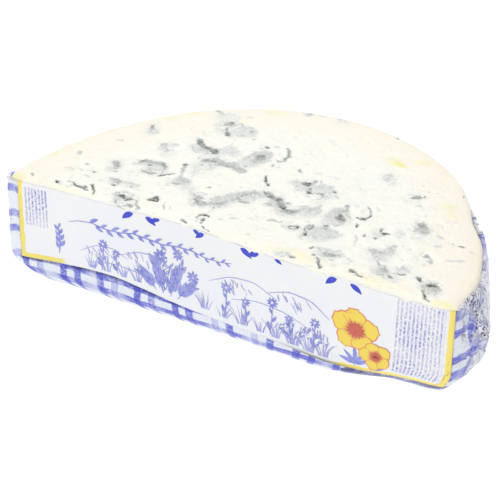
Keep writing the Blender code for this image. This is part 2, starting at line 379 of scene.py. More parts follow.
# %% [markdown]
# ## Finishes as node trees
# A finish is a small network of nodes: coordinates go in, noise and ramps shape them, and the shader
# at the end turns them into colour, gloss and bumps. Joined by hand, such a network is hard to read
# in code. So each output is kept as a wire that can be added, taken away and multiplied like a
# number, and a few short functions name the steps that come back in every finish.

# %% Colours and wires
WHITE_SHARE = 0.84    # a surface seen as white sends back this much of its light


def seen(red, green, blue):
    """The surface colour that is seen as a screen colour (0 to 255), by the standard curve."""
    share = np.array([red, green, blue]) / 255
    light = np.where(share <= 0.04045, share / 12.92, ((share + 0.055) / 1.055) ** 2.4)
    return (*(light * WHITE_SHARE).tolist(), 1)


class Wire:
    """One output of a node. Arithmetic on it, with numbers or other wires, adds Math nodes."""

    def __init__(self, tree, socket):
        self.tree, self.socket = tree, socket

    def math(self, operation, *others):
        """One Math node that works on this wire and then the others."""
        return put(self.tree, "Math", enumerate((self, *others)), operation=operation)

    def __rsub__(self, other):
        return put(self.tree, "Math", enumerate((other, self)), operation="SUBTRACT")

    __add__ = functools.partialmethod(math, "ADD")
    __sub__ = functools.partialmethod(math, "SUBTRACT")
    __mul__ = functools.partialmethod(math, "MULTIPLY")
    __pow__ = functools.partialmethod(math, "POWER")
    __abs__ = functools.partialmethod(math, "ABSOLUTE")


def put(tree, kind, values=(), out=0, **settings):
    """Adds a node, makes its settings, joins or sets its inputs, and gives back one output."""
    node = tree.nodes.new("ShaderNode" + kind)
    for key, value in settings.items():
        setattr(node, key, value)
    for key, value in dict(values).items():
        if isinstance(value, Wire):
            tree.links.new(value.socket, node.inputs[key])
        else:
            node.inputs[key].default_value = value
    return Wire(tree, node.outputs[out])


# %% Steps that come back in every finish
def limited(wire):
    """The wire held between 0 and 1."""
    return put(wire.tree, "Clamp", {0: wire})


def step(wire, start, end):
    """0 before start and 1 after end, with a smooth rise between them."""
    settings = {"Value": wire, "From Min": start, "From Max": end, "To Min": 0.0, "To Max": 1.0}
    return put(wire.tree, "MapRange", settings, interpolation_type="SMOOTHSTEP")


def blend(share, low, high):
    """Mixes two colours: low where share is 0, and high where it is 1."""
    return put(share.tree, "Mix", {0: share, 6: low, 7: high}, 2, data_type="RGBA")


def thin_lines(wire, full, gone):
    """Thin wandering lines where noise crosses its middle: 1 up to full away from it, 0 at gone."""
    return 1.0 - step(abs(wire - 0.5), full, gone)


# %% Starting a finish, and joining it to its shader
def new_finish(name, roughness, metallic=0.0):
    """An empty finish: its node tree and its main shader, with constant gloss values set."""
    finish = bpy.data.materials.new(name)
    finish.use_nodes = True
    shader = finish.node_tree.nodes["Principled BSDF"]
    shader.inputs["Roughness"].default_value = roughness
    shader.inputs["Metallic"].default_value = metallic
    return finish, finish.node_tree, shader


def colour_with(shader, colour):
    """Joins a colour to the shader."""
    colour.tree.links.new(colour.socket, shader.inputs["Base Color"])


def bump_with(shader, height, strength, depth):
    """Bumps on the surface, as deep as that many millimetres, from a wire of heights."""
    bump = put(height.tree, "Bump", {"Height": height, "Strength": strength, "Distance": depth * MM})
    bump.tree.links.new(bump.socket, shader.inputs["Normal"])


def named_value(tree, name):
    """A value that was stored on the mesh's points under this name."""
    return put(tree, "Attribute", out=2, attribute_name=name)


def spots(tree, places, scale, detail=2.0, roughness=0.5, out=0):
    """Blender's own noise, 0 to 1, with about that many spots to one unit of its coordinates."""
    settings = {"Vector": places, "Scale": scale, "Detail": detail, "Roughness": roughness}
    return put(tree, "TexNoise", settings, out)


def dust(tree, places, size, detail=2.0, roughness=0.5):
    """The same noise in the object's own metres, with spots of about that size in millimetres."""
    return spots(tree, places, 1 / (size * MM), detail, roughness)


# %% [markdown]
# ## The finish of the paste
# Fresh blue cheese is a moist cream paste, cooler in its veined middle and warmer near the rim,
# with buttery spots. The mould runs from a pale grey bloom round each mark to blue-black threads in
# the cracks. The mesh carries how mouldy, warm, buttery and bloomed each point is. The network only
# adds what is finer than the mesh: crumbs, a ragged edge to each mark, hair-thin threads near the
# marks, and the moist shine. Light enters paste a little before it comes out, so some of it is
# scattered below the surface.

# %% Paste
PASTE_COOL = seen(250, 249, 240)
PASTE_WARM = seen(252, 247, 233)
PASTE_RIM = seen(253, 245, 228)
BUTTER = seen(245, 239, 158)
HALO = seen(222, 225, 223)
MOULD_RAMP = ((0.0, seen(240, 242, 238)), (0.3, seen(221, 224, 221)), (0.6, seen(184, 188, 184)),
              (0.84, seen(124, 129, 123)), (1.0, seen(56, 61, 53)))
CRUMB, TEAR, CLOUD, CLUMP, PATCH = 0.9, 2.3, 3.6, 6.5, 9.0    # sizes of the spots of noise
FINE_CRUMB = 0.45
CRUMB_RAGGED, TEAR_RAGGED = 0.95, 1.0    # how far crumbs and tears shift the darkness of the mould
THREAD_DARK = 0.66                       # the hair-thin threads that the finish adds near the marks
PASTE_BUMP, PASTE_BUMP_DEPTH = 0.35, 0.25


def mould_ramp(tree, mould):
    """The mould's colour by its darkness: cream, pale grey, grey-green, dark grey, nearly black."""
    ramp = tree.nodes.new("ShaderNodeValToRGB")
    stops = ramp.color_ramp.elements
    stops[0].position, stops[0].color = MOULD_RAMP[0]
    stops[1].position, stops[1].color = MOULD_RAMP[-1]
    for position, colour in MOULD_RAMP[1:-1]:
        stops.new(position).color = colour
    tree.links.new(mould.socket, ramp.inputs[0])
    return Wire(tree, ramp.outputs[0])


def paste_finish():
    """Cool paste, then warmth, rim, butter and bloom over it, and the ragged mould on top. The
    mould's darkness is m + m to the power 0.65 times noise, so its edges tear and its inside doesn't."""
    finish, tree, shader = new_finish("blue_veined_paste", 0.48)
    places = put(tree, "TexCoord", out=3)
    crumbs, patches, torn = (dust(tree, places, *size) for size in
                             ((CRUMB, 3.0, 0.6), (PATCH, 3.0, 0.6), (CLOUD, 2.0, 0.6)))
    mould, halo, warm, rim, butter = (named_value(tree, name) for name in
                                      ("mould", "halo", "warm", "rim", "butter"))

    paste = blend(limited(patches * 0.5 + warm - 0.25), PASTE_COOL, PASTE_WARM)
    paste = blend(rim, paste, PASTE_RIM)
    paste = blend(butter, paste, BUTTER)
    cloudy = halo * limited(patches * 1.5 + 0.15) * (step(torn, 0.48, 0.52) * 0.9 + 0.35)
    paste = blend(cloudy, paste, HALO)

    tears = dust(tree, places, TEAR, 3.0, 0.65) - 0.5
    ragged = (crumbs - 0.5) * CRUMB_RAGGED + tears * TEAR_RAGGED
    mould = mould**0.65 * ragged + mould
    near = step(halo, 0.12, 0.5)
    clumped = step(dust(tree, places, CLUMP, 1.0), 0.47, 0.57)
    thread = thin_lines(torn, 0.008, 0.04) * clumped * near
    mould = mould.math("MAXIMUM", thread * THREAD_DARK)
    colour_with(shader, blend(step(mould, 0.02, 0.3), paste, mould_ramp(tree, mould)))

    lumps = step(torn, 0.44, 0.54) * near
    relief = dust(tree, places, FINE_CRUMB, 3.0) * 0.4 + crumbs - lumps * 1.2
    bump_with(shader, relief, PASTE_BUMP, PASTE_BUMP_DEPTH)
    shader.inputs["Subsurface Weight"].default_value = 0.2
    shader.inputs["Subsurface Radius"].default_value = (1.0, 0.75, 0.45)
    shader.inputs["Subsurface Scale"].default_value = 2.0 * MM
    shader.inputs["Specular IOR Level"].default_value = 0.4
    return finish


PASTE = paste_finish()

# %% [markdown]
# ## The cut face
# The wire left a nearly level face, and the mould has opened hollows and cracks in it. Noise alone
# would spread them evenly, as no cheese does. So the larger marks are put down one by one, in
# millimetres from the middle of the straight front: across, and back from it. Each hollow is sunk
# into the mesh. Each smudge and thread of mould is colour, and the dark ones are also cut in a
# little, because in the real paste the mould grows in open cracks.

# %% Hollows of the cut face: place, length, width, turn in degrees, depth
HOLLOWS = (
    (-45, 84, 11, 8, 70, 2.0), (-35, 79, 12, 8, 10, 1.4), (-42, 61, 15, 7, -25, 1.8),
    (-31, 62, 11, 8, 0, 1.2), (-27, 51, 22, 7, 0, 1.6), (-18, 61, 14, 8, 75, 2.2),
    (-9, 68, 10, 8, 80, 1.6), (-54, 36, 13, 9, -15, 2.2), (-66, 27, 9, 6, 110, 1.5),
    (-36, 29, 12, 6, -10, 1.7), (-21, 22, 10, 7, -50, 1.9), (-8, 28, 20, 8, 35, 1.5),
    (5, 36, 16, 7, -20, 1.5), (14, 33, 14, 9, -35, 2.5), (23, 35, 10, 8, 0, 1.2),
    (11, 55, 11, 7, 15, 1.8), (19, 52, 11, 8, -10, 1.3), (35, 37, 15, 8, 70, 2.4),
    (43, 44, 12, 7, 80, 1.7), (33, 22, 15, 10, 30, 1.9), (22, 22, 7, 6, 0, 1.7),
    (54, 34, 8, 6, 60, 1.9), (66, 44, 10, 7, 105, 1.7), (60, 21, 12, 8, 50, 1.5),
    (72, 14, 8, 6, 20, 1.4), (65, 10, 7, 6, 0, 1.5), (43, 11, 9, 6, 0, 1.6),
    (86, 9, 10, 7, -40, 1.8), (-48, 9, 12, 6, -8, 1.8), (-38, 13, 7, 6, 0, 1.6),
    (77, 25, 8, 7, 0, 1.3),
)

# %% Smudges of mould: place, length, width, turn in degrees, darkness from 0 to 1
SMUDGES = (
    (-54, 91.5, 3.4, 2.4, -20, .6), (-51, 89.8, 4.2, 2.4, -15, .42), (-47, 86, 12, 9, -60, .16),
    (-45, 84.3, 6.8, 4.4, 75, .78), (-41.5, 79.5, 12, 8, -60, .17), (-38.6, 92.2, 3.6, 2, 10, .25),
    (-34.3, 79.6, 10, 8.5, 15, .3), (-31.3, 81.9, 3.6, 1.6, -25, .82), (-33.4, 76.3, 4, 2.2, -60, .42),
    (-42.4, 78.6, 3.6, 1.3, -70, .88), (-39.4, 75.3, 4.6, 2.6, -45, .78), (-42.6, 75.8, 4.5, 3, 0, .3),
    (-27, 76.6, 1.7, 1.4, 0, .6), (-70.6, 62.8, 7.4, 2.6, -70, .7), (-77, 47.2, 2.6, 2.2, 0, .35),
    (-57.2, 51.6, 5.4, 3.4, -35, .45), (-54, 54.6, 3.4, 2.6, 0, .28), (-54.5, 48.5, 9, 5, -20, .16),
    (-39, 56, 15, 8, -35, .28), (-31.5, 61, 8, 9, 20, .24), (-24, 58, 8, 12, 60, .1),
    (-31, 51.5, 8, 4.5, 10, .45), (-33, 45.5, 6, 8, 70, .28), (-17, 64, 6.4, 4.6, -70, .86),
    (-18.3, 60, 17, 7.6, 78, .34), (-19, 72.5, 2.1, 1.5, -45, .9), (-20.6, 70.2, 1.5, 1.1, 0, .5),
    (-15.6, 75, 2.4, 1.8, 0, .38), (-18.7, 54.3, 1.8, 1.5, 0, .75), (-16.3, 54, 3, 1.2, -20, .3),
    (-8.8, 60.7, 2.6, 1.3, -60, .88), (-5.5, 60.3, 2, 1.4, 0, .3), (-7.6, 68.4, 3, 1.6, 80, .85),
    (-9.2, 65.6, 2.6, 1.4, 0, .8), (-55, 36.8, 3.2, 2.6, 0, .95), (-50, 35.3, 9, 6.5, -40, .28),
    (-50.5, 30.2, 4.6, 1.8, 5, .8), (-57.8, 36, 5, 2.2, 70, .45), (-41, 42.4, 3.2, 2.2, -60, .85),
    (-36, 41.5, 7, 4, -40, .16), (-45, 30.6, 3.2, 1.6, 75, .95), (-36.8, 28.2, 5, 2.2, -8, .8),
    (-35.2, 30.2, 7, 6, 0, .4), (-24.6, 40.2, 2.6, 1.4, -50, .25), (-23.3, 31.1, 1.7, 1.3, 0, .75),
    (-22.2, 22.6, 4.6, 4, -60, .72), (-19.4, 19, 5, 4, -50, .62), (-13.6, 23.5, 8, 7, 60, .4),
    (-10.5, 28.5, 8, 6, 50, .42), (-6.5, 32.6, 9, 6, 50, .4), (-3, 35.5, 8, 6, 30, .34),
    (-29, 25.5, 7, 4, -30, .2), (-66.6, 28.6, 6, 2.8, -62, .62), (-65.6, 26.4, 2.6, 1.8, -20, .8),
    (-63.6, 23.9, 2.2, 1.6, -30, .5), (-67, 24, 4, 3, -50, .25), (-85.6, 29.2, 4, 2.4, -50, .35),
    (-77, 23.7, 2.2, 1.5, -40, .78), (-70.8, 19.5, 2.2, 1.6, 0, .7), (-73.5, 18.7, 2.2, 1.2, 0, .3),
    (-81, 15.2, 4, 3, 0, .22), (-77, 17.7, 2.4, 1.6, 0, .3), (-72, 14.3, 2.6, 1.8, 0, .35),
    (-65, 14.2, 2.6, 1.8, 0, .3), (-59.2, 17.6, 4.4, 2.8, 10, .58), (-53, 18.4, 7.5, 2.6, 5, .38),
    (-58.4, 14.4, 2.8, 1.8, 15, .92), (-56.3, 26, 2.6, 2, -50, .2), (-68.5, 16.5, 10, 5, -30, .08),
    (-91.8, 4.6, 3.2, 1.3, -45, .75), (-79.6, 5.3, 2.2, 1.6, -40, .9), (-84.5, 7, 3, 1.4, 0, .15),
    (-74.8, 7.3, 1.6, 1.3, 0, .5), (-69.3, 6.6, 3.6, 2.2, 10, .8), (-66.3, 10.2, 2, 1.6, -40, .95),
    (-49.8, 9, 5, 2.6, -15, .97), (-46.2, 8.6, 4.6, 3.2, 20, .92), (-49, 5, 6, 3, -60, .3),
    (-43.3, 4.3, 3.2, 2.4, 0, .45), (-38.2, 13.6, 3.2, 3, 0, .45), (-38.8, 20.8, 2.6, 1.6, 0, .25),
    (-17.8, 3.9, 3, 1.3, -30, .85), (-10.9, 8.5, 3, 1.6, -15, .95), (-10.2, 6.6, 2, 1.4, -30, .75),
    (-13.2, 2.8, 3, 1.2, 0, .3), (-5.6, 11.6, 3, 1.8, 0, .2), (-1.6, 15, 3, 1.6, 30, .25),
    (-21, 109.6, 2, 1.6, 0, .4), (-17.8, 108.4, 4, 3, 60, .5), (-12.2, 110.4, 2.6, 1.6, 0, .25),
    (-2.5, 110.5, 5, 4.4, -30, .26), (-1, 105, 9, 6, 70, .08), (3, 91, 5, 2.4, -50, .14),
    (39.6, 73, 11, 3.4, -55, .2), (54, 64.8, 4.6, 4, 60, .72), (58.5, 59.8, 2.6, 1.8, 0, .25),
    (60, 72.3, 1.6, 1.2, 0, .3), (3.2, 61.8, 3.2, 1.3, -60, .82), (11.6, 63.2, 3.4, 2.2, 0, .22),
    (17.6, 63, 3.6, 2.2, 0, .18), (10.5, 54.6, 4.6, 3.6, 30, .86), (12.6, 56.8, 3, 1.6, 70, .6),
    (9.5, 53, 8, 5, 20, .35), (12.9, 51.3, 2.2, 1.4, 70, .85), (14.6, 48.4, 4.6, 2.8, -35, .85),
    (12, 49.5, 7, 5, -30, .3), (18.4, 52, 8, 7.6, 20, .34), (19.5, 49.9, 2.4, 1.4, 0, .6),
    (23.2, 53.7, 3, 2, -15, .8), (21.6, 51.5, 7, 6, 0, .26), (26.8, 49.4, 2.2, 1.6, -40, .55),
    (21.4, 44.5, 8, 2.6, -70, .2), (3.5, 38.6, 9, 3, -15, .5), (7.8, 36.4, 8, 3.4, -35, .66),
    (10.6, 34.4, 4, 3, -50, .92), (14.6, 31.6, 7.6, 6, -15, .7), (16, 33.8, 5, 3, -10, .6),
    (21.2, 34.8, 9, 7, 30, .34), (5.6, 30.6, 3.4, 3, 0, .5), (8, 33, 8, 4, -35, .35),
    (22, 22, 4.4, 3.4, 0, .3), (18.4, 19, 2.6, 1.6, 0, .3), (32.6, 21.8, 12.5, 8.6, 35, .34),
    (27.6, 24.8, 2, 1.2, 60, .8), (36.4, 22.2, 3.4, 2, 0, .4), (39.5, 24.6, 6, 4, 20, .14),
    (35, 37, 7.6, 4, -65, .86), (33, 36.2, 13, 6.6, 85, .34), (33.3, 45.4, 2.6, 1.5, -10, .85),
    (32.7, 28.8, 2, 1.6, 30, .9), (36.4, 30.6, 3, 1.4, 70, .6), (36.4, 47, 2.4, 1.6, 0, .25),
    (43, 40.2, 3.6, 2.2, 20, .88), (42.3, 35.1, 3, 1.5, -70, .88), (49.1, 29.8, 2.2, 1.5, -40, .88),
    (66.8, 44.4, 8, 4.2, -62, .6), (65, 46.4, 3.6, 3, 0, .62), (69, 36, 5, 4, 0, .15),
    (60.6, 37.6, 4.4, 3, -60, .2), (55.3, 35, 3.6, 2.6, 20, .92), (53, 36.4, 2.6, 1.4, -60, .85),
    (54.3, 29.9, 2.6, 2, 0, .78), (54.2, 32.5, 4, 3, 0, .3), (84.3, 40.6, 3.4, 2, 15, .72),
    (80.5, 39.7, 3, 1.5, 0, .25), (75.6, 42.2, 2.6, 1.8, 0, .3), (90, 38.2, 3, 1.4, 20, .22),
    (77.8, 35.6, 3.4, 2.4, 0, .24), (76.6, 46.6, 4, 1.6, -50, .16), (76.4, 27.8, 2, 1.8, 0, .8),
    (78.8, 25, 2.2, 1.6, -50, .5), (77, 21.8, 1.6, 1.2, 0, .55), (61, 22.5, 10, 5, 70, .34),
    (58, 21.5, 5, 3, -20, .42), (61.5, 17.5, 6, 4, -40, .24), (64.6, 10.6, 4.4, 3.6, 20, .55),
    (71.9, 14.5, 5.4, 4, 30, .22), (70, 8, 4.4, 1.8, -20, .92), (42.8, 11.6, 5.6, 3.4, 10, .7),
    (42.5, 12, 8, 5, 0, .25), (35.7, 11.2, 2.4, 1.6, 60, .9), (38.3, 12, 1.6, 1.1, -30, .6),
    (39.2, 7.2, 2, 1.3, -45, .85), (51.5, 9.7, 5, 3.4, 70, .13), (46.5, 7.4, 3.5, 1.4, -40, .35),
    (80.6, 12.5, 3.6, 2.4, -15, .9), (85.6, 11.2, 3.6, 2, 20, .88), (86.4, 9, 6, 4.6, -30, .6),
    (60, 2.7, 2.4, 1.5, 0, .85), (57, 4.8, 3.4, 1.6, -35, .78), (31.8, 2.2, 3.8, 1.5, 10, .85),
    (27, 2, 5, 1.5, 0, .35), (25.6, 1.2, 3.2, 1.6, -20, .45), (10, 6.8, 2.2, 1.6, -60, .22),
    (40, -0.8, 3, 2.4, 90, .2),
)

# %% Threads of mould: width, darkness, and the corners of the path
THREADS = (
    (1.1, .55, (-40, 87, -38.5, 85.2, -37.6, 84)), (0.9, .3, (-33.8, 71, -33.4, 67)),
    (0.9, .35, (-30.2, 66.8, -29, 64.2)),
    (3.2, .7, (-47.5, 64, -44, 61.6, -41, 60.3, -38.5, 60.4, -36, 58.2)),
    (2.0, .35, (-49, 65.4, -47, 63.8)),
    (4.2, .5, (-35, 50.5, -32, 52.2, -27, 51.4, -23, 53, -20, 50.5, -17.5, 49.3)),
    (2.0, .68, (-35, 50.8, -32.4, 52)), (1.6, .45, (-27, 51, -22.8, 53)),
    (1.4, .62, (-11.4, 76.5, -8.6, 73.2, -6.8, 70.2, -6.9, 66.8, -9.4, 65.4)),
    (1.1, .95, (-7, 51.2, -5.6, 48.6, -4, 46.2, -1.4, 44.2)),
    (2.0, .62, (-59.2, 36.5, -58.6, 39.2, -55.5, 39.4, -51, 39.3, -48, 37.2)),
    (1.4, .5, (-40.6, 41, -39.6, 37.5, -38, 34.2, -36.5, 31.5)),
    (1.2, .6, (-44.6, 32, -43.2, 34, -41.4, 33.6)), (1.0, .4, (-52.6, 31, -52.2, 33)),
    (2.2, .6, (-13.4, 22.5, -11.8, 26.5)), (2.0, .58, (-9, 29.5, -6, 35.5)),
    (2.2, .5, (-6, 36.5, -5, 38)), (1.8, .62, (-6, 30, -3.5, 28.5)),
    (0.8, .78, (-73.2, 8, -71.4, 6.4, -69, 6.8, -68, 8.6, -67.6, 6.6, -66.4, 6.4)),
    (0.9, .6, (-72.6, 5.6, -71.8, 3.6)), (1.0, .88, (-66.6, 10.6, -65, 9, -63.4, 6.6)),
    (0.9, .75, (-63.4, 6.6, -61.2, 3.8)), (1.2, .55, (-50.2, 6.6, -49.8, 4.4, -48.6, 2.2)),
    (1.1, .6, (-44.8, 3.6, -43.8, 5, -42.2, 4.6)), (1.2, .6, (-42.8, 8.6, -41, 6.2, -39, 3.6)),
    (1.2, .5, (-48.5, 2.4, -45.5, 1.8)),
    (1.1, .97, (-40.6, 12.8, -38.2, 15.8, -36.2, 12.4, -38.6, 13.2, -40.6, 12.8)),
    (0.8, .6, (-32, 12.6, -30.8, 10, -29.4, 8)), (1.1, .85, (-19.4, 5, -17.8, 3.9, -16.2, 3.1)),
    (1.2, .85, (-15.6, 9.4, -14.6, 11.4, -12.8, 12.6, -10.4, 11.6)),
    (0.9, .5, (-15.2, 9.2, -13.4, 8.6)), (1.0, .85, (-8.4, 5.2, -7.4, 3.4, -5, 2.1)),
    (0.8, .35, (-27.5, 11, -27, 9)), (1.3, .55, (24.6, 109.3, 26, 108.1)),
    (1.2, .6, (71, 75.8, 71.6, 74.9)), (1.2, .35, (37, 77.6, 38.6, 74)),
    (2.6, .7, (0, 39.6, 3.5, 38.4, 6.8, 37.2, 9.8, 35.4)), (1.6, .45, (24, 41, 23, 38.4)),
    (0.9, .95, (20.5, 22, 21, 23.2, 22.2, 23.6, 23.4, 22.8, 23.4, 21.4, 22.4, 20.6, 21, 20.9, 20.5, 22)),
    (0.9, .8, (19.8, 22.4, 20.8, 21)), (0.9, .5, (23.4, 21, 24.4, 20)),
    (1.0, .5, (10.6, 20.6, 12.6, 22, 14.4, 21.2, 16.4, 22)),
    (0.9, .3, (3.2, 16.6, 4.6, 18.4, 5.4, 17)), (1.1, .8, (26.6, 22.6, 27.4, 20.4, 28.6, 18.6)),
    (1.0, .85, (27.4, 25.8, 28, 23.8)), (0.9, .7, (26.2, 25.4, 26.8, 23.6)),
    (0.9, .4, (36, 21, 38, 22.4, 41, 25.4)), (1.1, .6, (40.6, 49.2, 43, 47, 44.4, 43.6)),
    (1.5, .85, (44.4, 43.8, 44, 41, 42.6, 39.8, 41, 40.2)),
    (0.9, .4, (46.4, 28.2, 47.6, 24.5, 48.8, 20.6)),
    (0.9, .5, (62.4, 26.6, 61.4, 23.6, 60, 21, 57, 20.6)),
    (0.9, .55, (60.8, 17, 62.2, 13.5, 64, 11)),
    (0.9, .4, (69.4, 15.4, 71.2, 17, 73.8, 15.4, 74.2, 13)),
    (1.0, .85, (68.6, 10.8, 71, 12.2, 74.2, 12.9)), (1.0, .75, (68.6, 8.4, 71.6, 7.4)),
    (1.0, .85, (41.2, 6.4, 42.4, 4, 43.8, 1.4)), (0.8, .5, (40, 9, 42, 9.6, 44.6, 10.8)),
    (1.0, .75, (55.6, 5.6, 57.6, 4.2, 59, 3.4)),
    (1.0, .85, (84, 6.6, 85.4, 4.6, 87.2, 2.4, 89.4, .6)),
    (1.0, .6, (76, 28.4, 78.2, 27.2)), (0.9, .5, (78.6, 26.6, 79.4, 23.8)),
    (1.8, .28, (83.5, 27.6, 87, 29.6, 89.6, 30.8)), (0.8, .5, (33.6, 45.8, 31.8, 44.8)),
    (0.9, .55, (32.6, 41.6, 34.4, 43.4)), (0.9, .5, (15, 58.8, 15.8, 57.4)),
    (0.9, .35, (49.6, 11.6, 52.6, 11.4, 52.9, 8.2)), (0.9, .35, (-37, 43, -35, 40, -34, 36)),
)

# %% Buttery spots: place, length, width, turn in degrees, strength
BUTTERY = (
    (36.8, 87, 8, 3.6, -20, .9), (34, 88.5, 9, 6, -30, .35), (46, 93, 6, 6, 0, .3),
    (69, 64.6, 7, 5, 0, .35), (73, 60, 9, 5, -50, .2), (-31, 103, 10, 6, 0, .22),
    (-62, 84.5, 8, 5, 0, .22), (-70, 76, 7, 5, 0, .18), (-95, 24, 5, 5, 0, .3),
    (-97, 1, 8, 6, 0, .45), (95, 1.5, 8, 4, 0, .55), (-62.6, 5, 5, 1.6, -55, .8),
    (-75, 2, 20, 4, 0, .2), (68, 3, 24, 5, 0, .2), (32, 4, 24, 6, 0, .25),
)

# %% Small seeded flecks that fill the veined middle between the marks
FLECKS = 260
FLECK_RANGES = ((-88, 92), (2, 82), (0.9, 4.0), (0.7, 1.5), (-75, 20), (0.04, 0.26))
draw = np.random.default_rng(31)    # place, length, width, turn and darkness are drawn in that order
flecks = np.stack([draw.uniform(*least_most, FLECKS) for least_most in FLECK_RANGES], -1)
print(f"{len(HOLLOWS)} hollows, {len(SMUDGES)} smudges, {len(THREADS)} threads, {len(flecks)} flecks")

# %% [markdown]
# A dab with a clean oval edge would look painted. So before the marks are read, every point is
# moved a little by noise, which bends and frays their edges. The dark side of a hollow is its far
# wall, turned from the lamp behind, so each smudge gets painted shade towards its far side, and the
# hollows are sunk deepest there. The depth of all cracks and hollows is kept, so that colour and
# shape agree.

# %% Fraying, and where mould can grow
FRAYS = ((2.0, 1.7, 6.5, 1.5), (1.3, 1.1, 2.3, 3.5), (0.6, 0.55, 0.9, 4.8))
HOLLOW_SHARE = 0.6         # how much of its listed depth a hollow gets
HOLLOW_EDGE, HOLLOW_NEAR = 0.55, 0.35    # its edge, as a share of its width, and its near depth
VEINED_INSET = 16          # the outer band of the paste, this wide, is almost clean
CRACK_DEPTH = 0.8          # a black thread is cut in this deep
NEAR_SHADE = 0.45          # painted shade: a mark is painted darkest at its far side; its near side is this share as dark
SMUDGE_GROWN, GROWN_BELOW = 1.3, 0.66    # a smudge paler than this spreads beyond its listed size
SMUDGE_EDGE, THREAD_EDGE, FLECK_EDGE, CORE_EDGE = 0.7, 0.7, 0.8, 0.6
CORE, CORE_LONGEST, CORE_DARKNESS = 0.8, 6, 0.55    # a small dark smudge has a crisp core
HALO_SPREAD, HALO_SHARE = 4.0, 0.8       # the pale bloom round a mark: how far it spreads, how strong
HALO_LENGTH, HALO_DARKNESS = 4, 0.15     # only a mark longer and darker than this has one
BLOOM, STREAKS = 0.10, 0.35


def frayed(x, y):
    """The point moved by noise of three sizes, from a slow bend of 2 mm to a fine fray."""
    moved_x, moved_y = x, y
    for across, back, size, layer in FRAYS:
        moved_x = moved_x + across * noise(x, y, layer, size)
        moved_y = moved_y + back * noise(x, y, layer + 5, size)
    return moved_x, moved_y


def far_side(y, mark):
    """0 at the near side of an oval mark and 1 at its far side."""
    length, width, turn = mark[2], mark[3], np.radians(mark[4])
    half = np.hypot(length / 2 * np.sin(turn), width / 2 * np.cos(turn))
    return ease(0.5 + 0.45 * (y - mark[1]) / half)


def veined(x, y, inset):
    """How much mould the paste can hold here: none at the rim and all of it farther in."""
    return rise(inset + 6 * noise(x, y, 2.2, 14), (4, VEINED_INSET))


# %% Mould, bloom and depth at any point of the face
def smudge_cover(x, y, smudge):
    """Darkness of one smudge: crisp at its far side, and paler and softer at the near one, with painted
    shade darkening it towards the far side. A small dark smudge has a crisp core besides."""
    place_x, place_y, length, width, turn, darkness = smudge
    grown = SMUDGE_GROWN if darkness < GROWN_BELOW else 1.0
    mark = (place_x, place_y, length * grown, width * grown, turn)
    far = far_side(y, mark)
    # painted shade: the smudge's darkness grows towards its far side, as on a hollow's far wall
    shade = darkness**0.85 * (NEAR_SHADE + (1 - NEAR_SHADE) * far)
    cover = shade * dab(x, y, mark, SMUDGE_EDGE + (1 - far) * min(length, width) / 2)
    if darkness > CORE_DARKNESS and length < CORE_LONGEST:
        core = (place_x, place_y, CORE * length, CORE * width, turn)
        cover = np.maximum(cover, darkness**1.1 * dab(x, y, core, CORE_EDGE))
    return cover


def mould_at(x, y, inset):
    """Darkness of the mould, 0 to 1: the darkest of smudges, threads, flecks and a faint bloom,
    times streaks of fine noise."""
    x, y = frayed(x, y)
    smudges = strongest(smudge_cover(x, y, smudge) for smudge in SMUDGES)
    threads = strongest(darkness * stroke(x, y, width, path, THREAD_EDGE)
                        for width, darkness, path in THREADS)
    faint = strongest(fleck[5] * dab(x, y, fleck, FLECK_EDGE) for fleck in flecks)
    bloom = BLOOM * ease(2.2 * rough_noise(x, y, 4.4, 11, 4))
    growing = np.maximum(faint, bloom) * veined(x, y, inset)
    streaks = 1 + STREAKS * rough_noise(x * 0.6, y, 9.1, 1.8, 2)
    return np.clip(strongest((smudges, threads, growing)) * streaks, 0, 1)


def halo_at(x, y, inset):
    """The pale grey bloom round the marks: a wide, soft copy of each large smudge."""
    x, y = frayed(x, y)
    wide = [((*smudge[:2], smudge[2] + HALO_SPREAD, smudge[3] + HALO_SPREAD, smudge[4]), smudge[5])
            for smudge in SMUDGES if smudge[2] > HALO_LENGTH and smudge[5] > HALO_DARKNESS]
    bloom = strongest(darkness**0.5 * dab(x, y, mark, HALO_SPREAD) for mark, darkness in wide)
    return HALO_SHARE * bloom * veined(x, y, inset + 4)


def hollow_depth(x, y):
    """Depth of the deepest hollow here: an oval dish, deep at its far side and shallow before it."""
    x, y = frayed(x, y)
    return HOLLOW_SHARE * strongest(
        mark[5] * dab(x, y, mark, HOLLOW_EDGE * mark[3])
        * (HOLLOW_NEAR + (1 - HOLLOW_NEAR) * far_side(y, mark)) for mark in HOLLOWS)


# %% [markdown]
# ## The cheese
# The cut face could be a flat D cut from a plane, but then its edge would not follow the wall. So a
# square grid is drawn out to a disc, and the disc to the D: the grid's border becomes the edge of
# the wall, cell by cell, and there is no pinched point in the middle. Below it follow the lip of
# paste that has swollen over the foil's edge, and the wall and foot inside the foil.

# %% Where the level face ends
CELLS_WIDE, CELLS_DEEP = 392, 208
WAVE, WAVE_X, WAVE_Y = 0.35, 17, 23
LIP_ROUND, LIP_POWER, HOLLOWS_END = 0.5, 22, 0.04
EDGE_IN, EDGE_IN_FRONT, EDGE_IN_FLANK = 0.9, 0.8, 1.2     # the level face ends this far inside the
FLANK_START, FLANK_END = (102, 118), (170, 200)           # wall: round the rim, in front, and added
EDGE_UNEVEN = 0.5                                         # on the right flank between these zones
EDGE_CORNERS = ((106, 6, 1.6), (-103, 8, 1.8), (162, 12, 1.3))    # and still farther in round these
FRONT_END, FRONT_START = (98, 104), (-98, -92)    # beyond these the foil stands outside the paste


def tuck(along):
    """1 round the rim, where the paste stays behind the foil's edge, and 0 along the front."""
    return np.maximum(rise(along, FRONT_END), 1 - rise(along, FRONT_START))


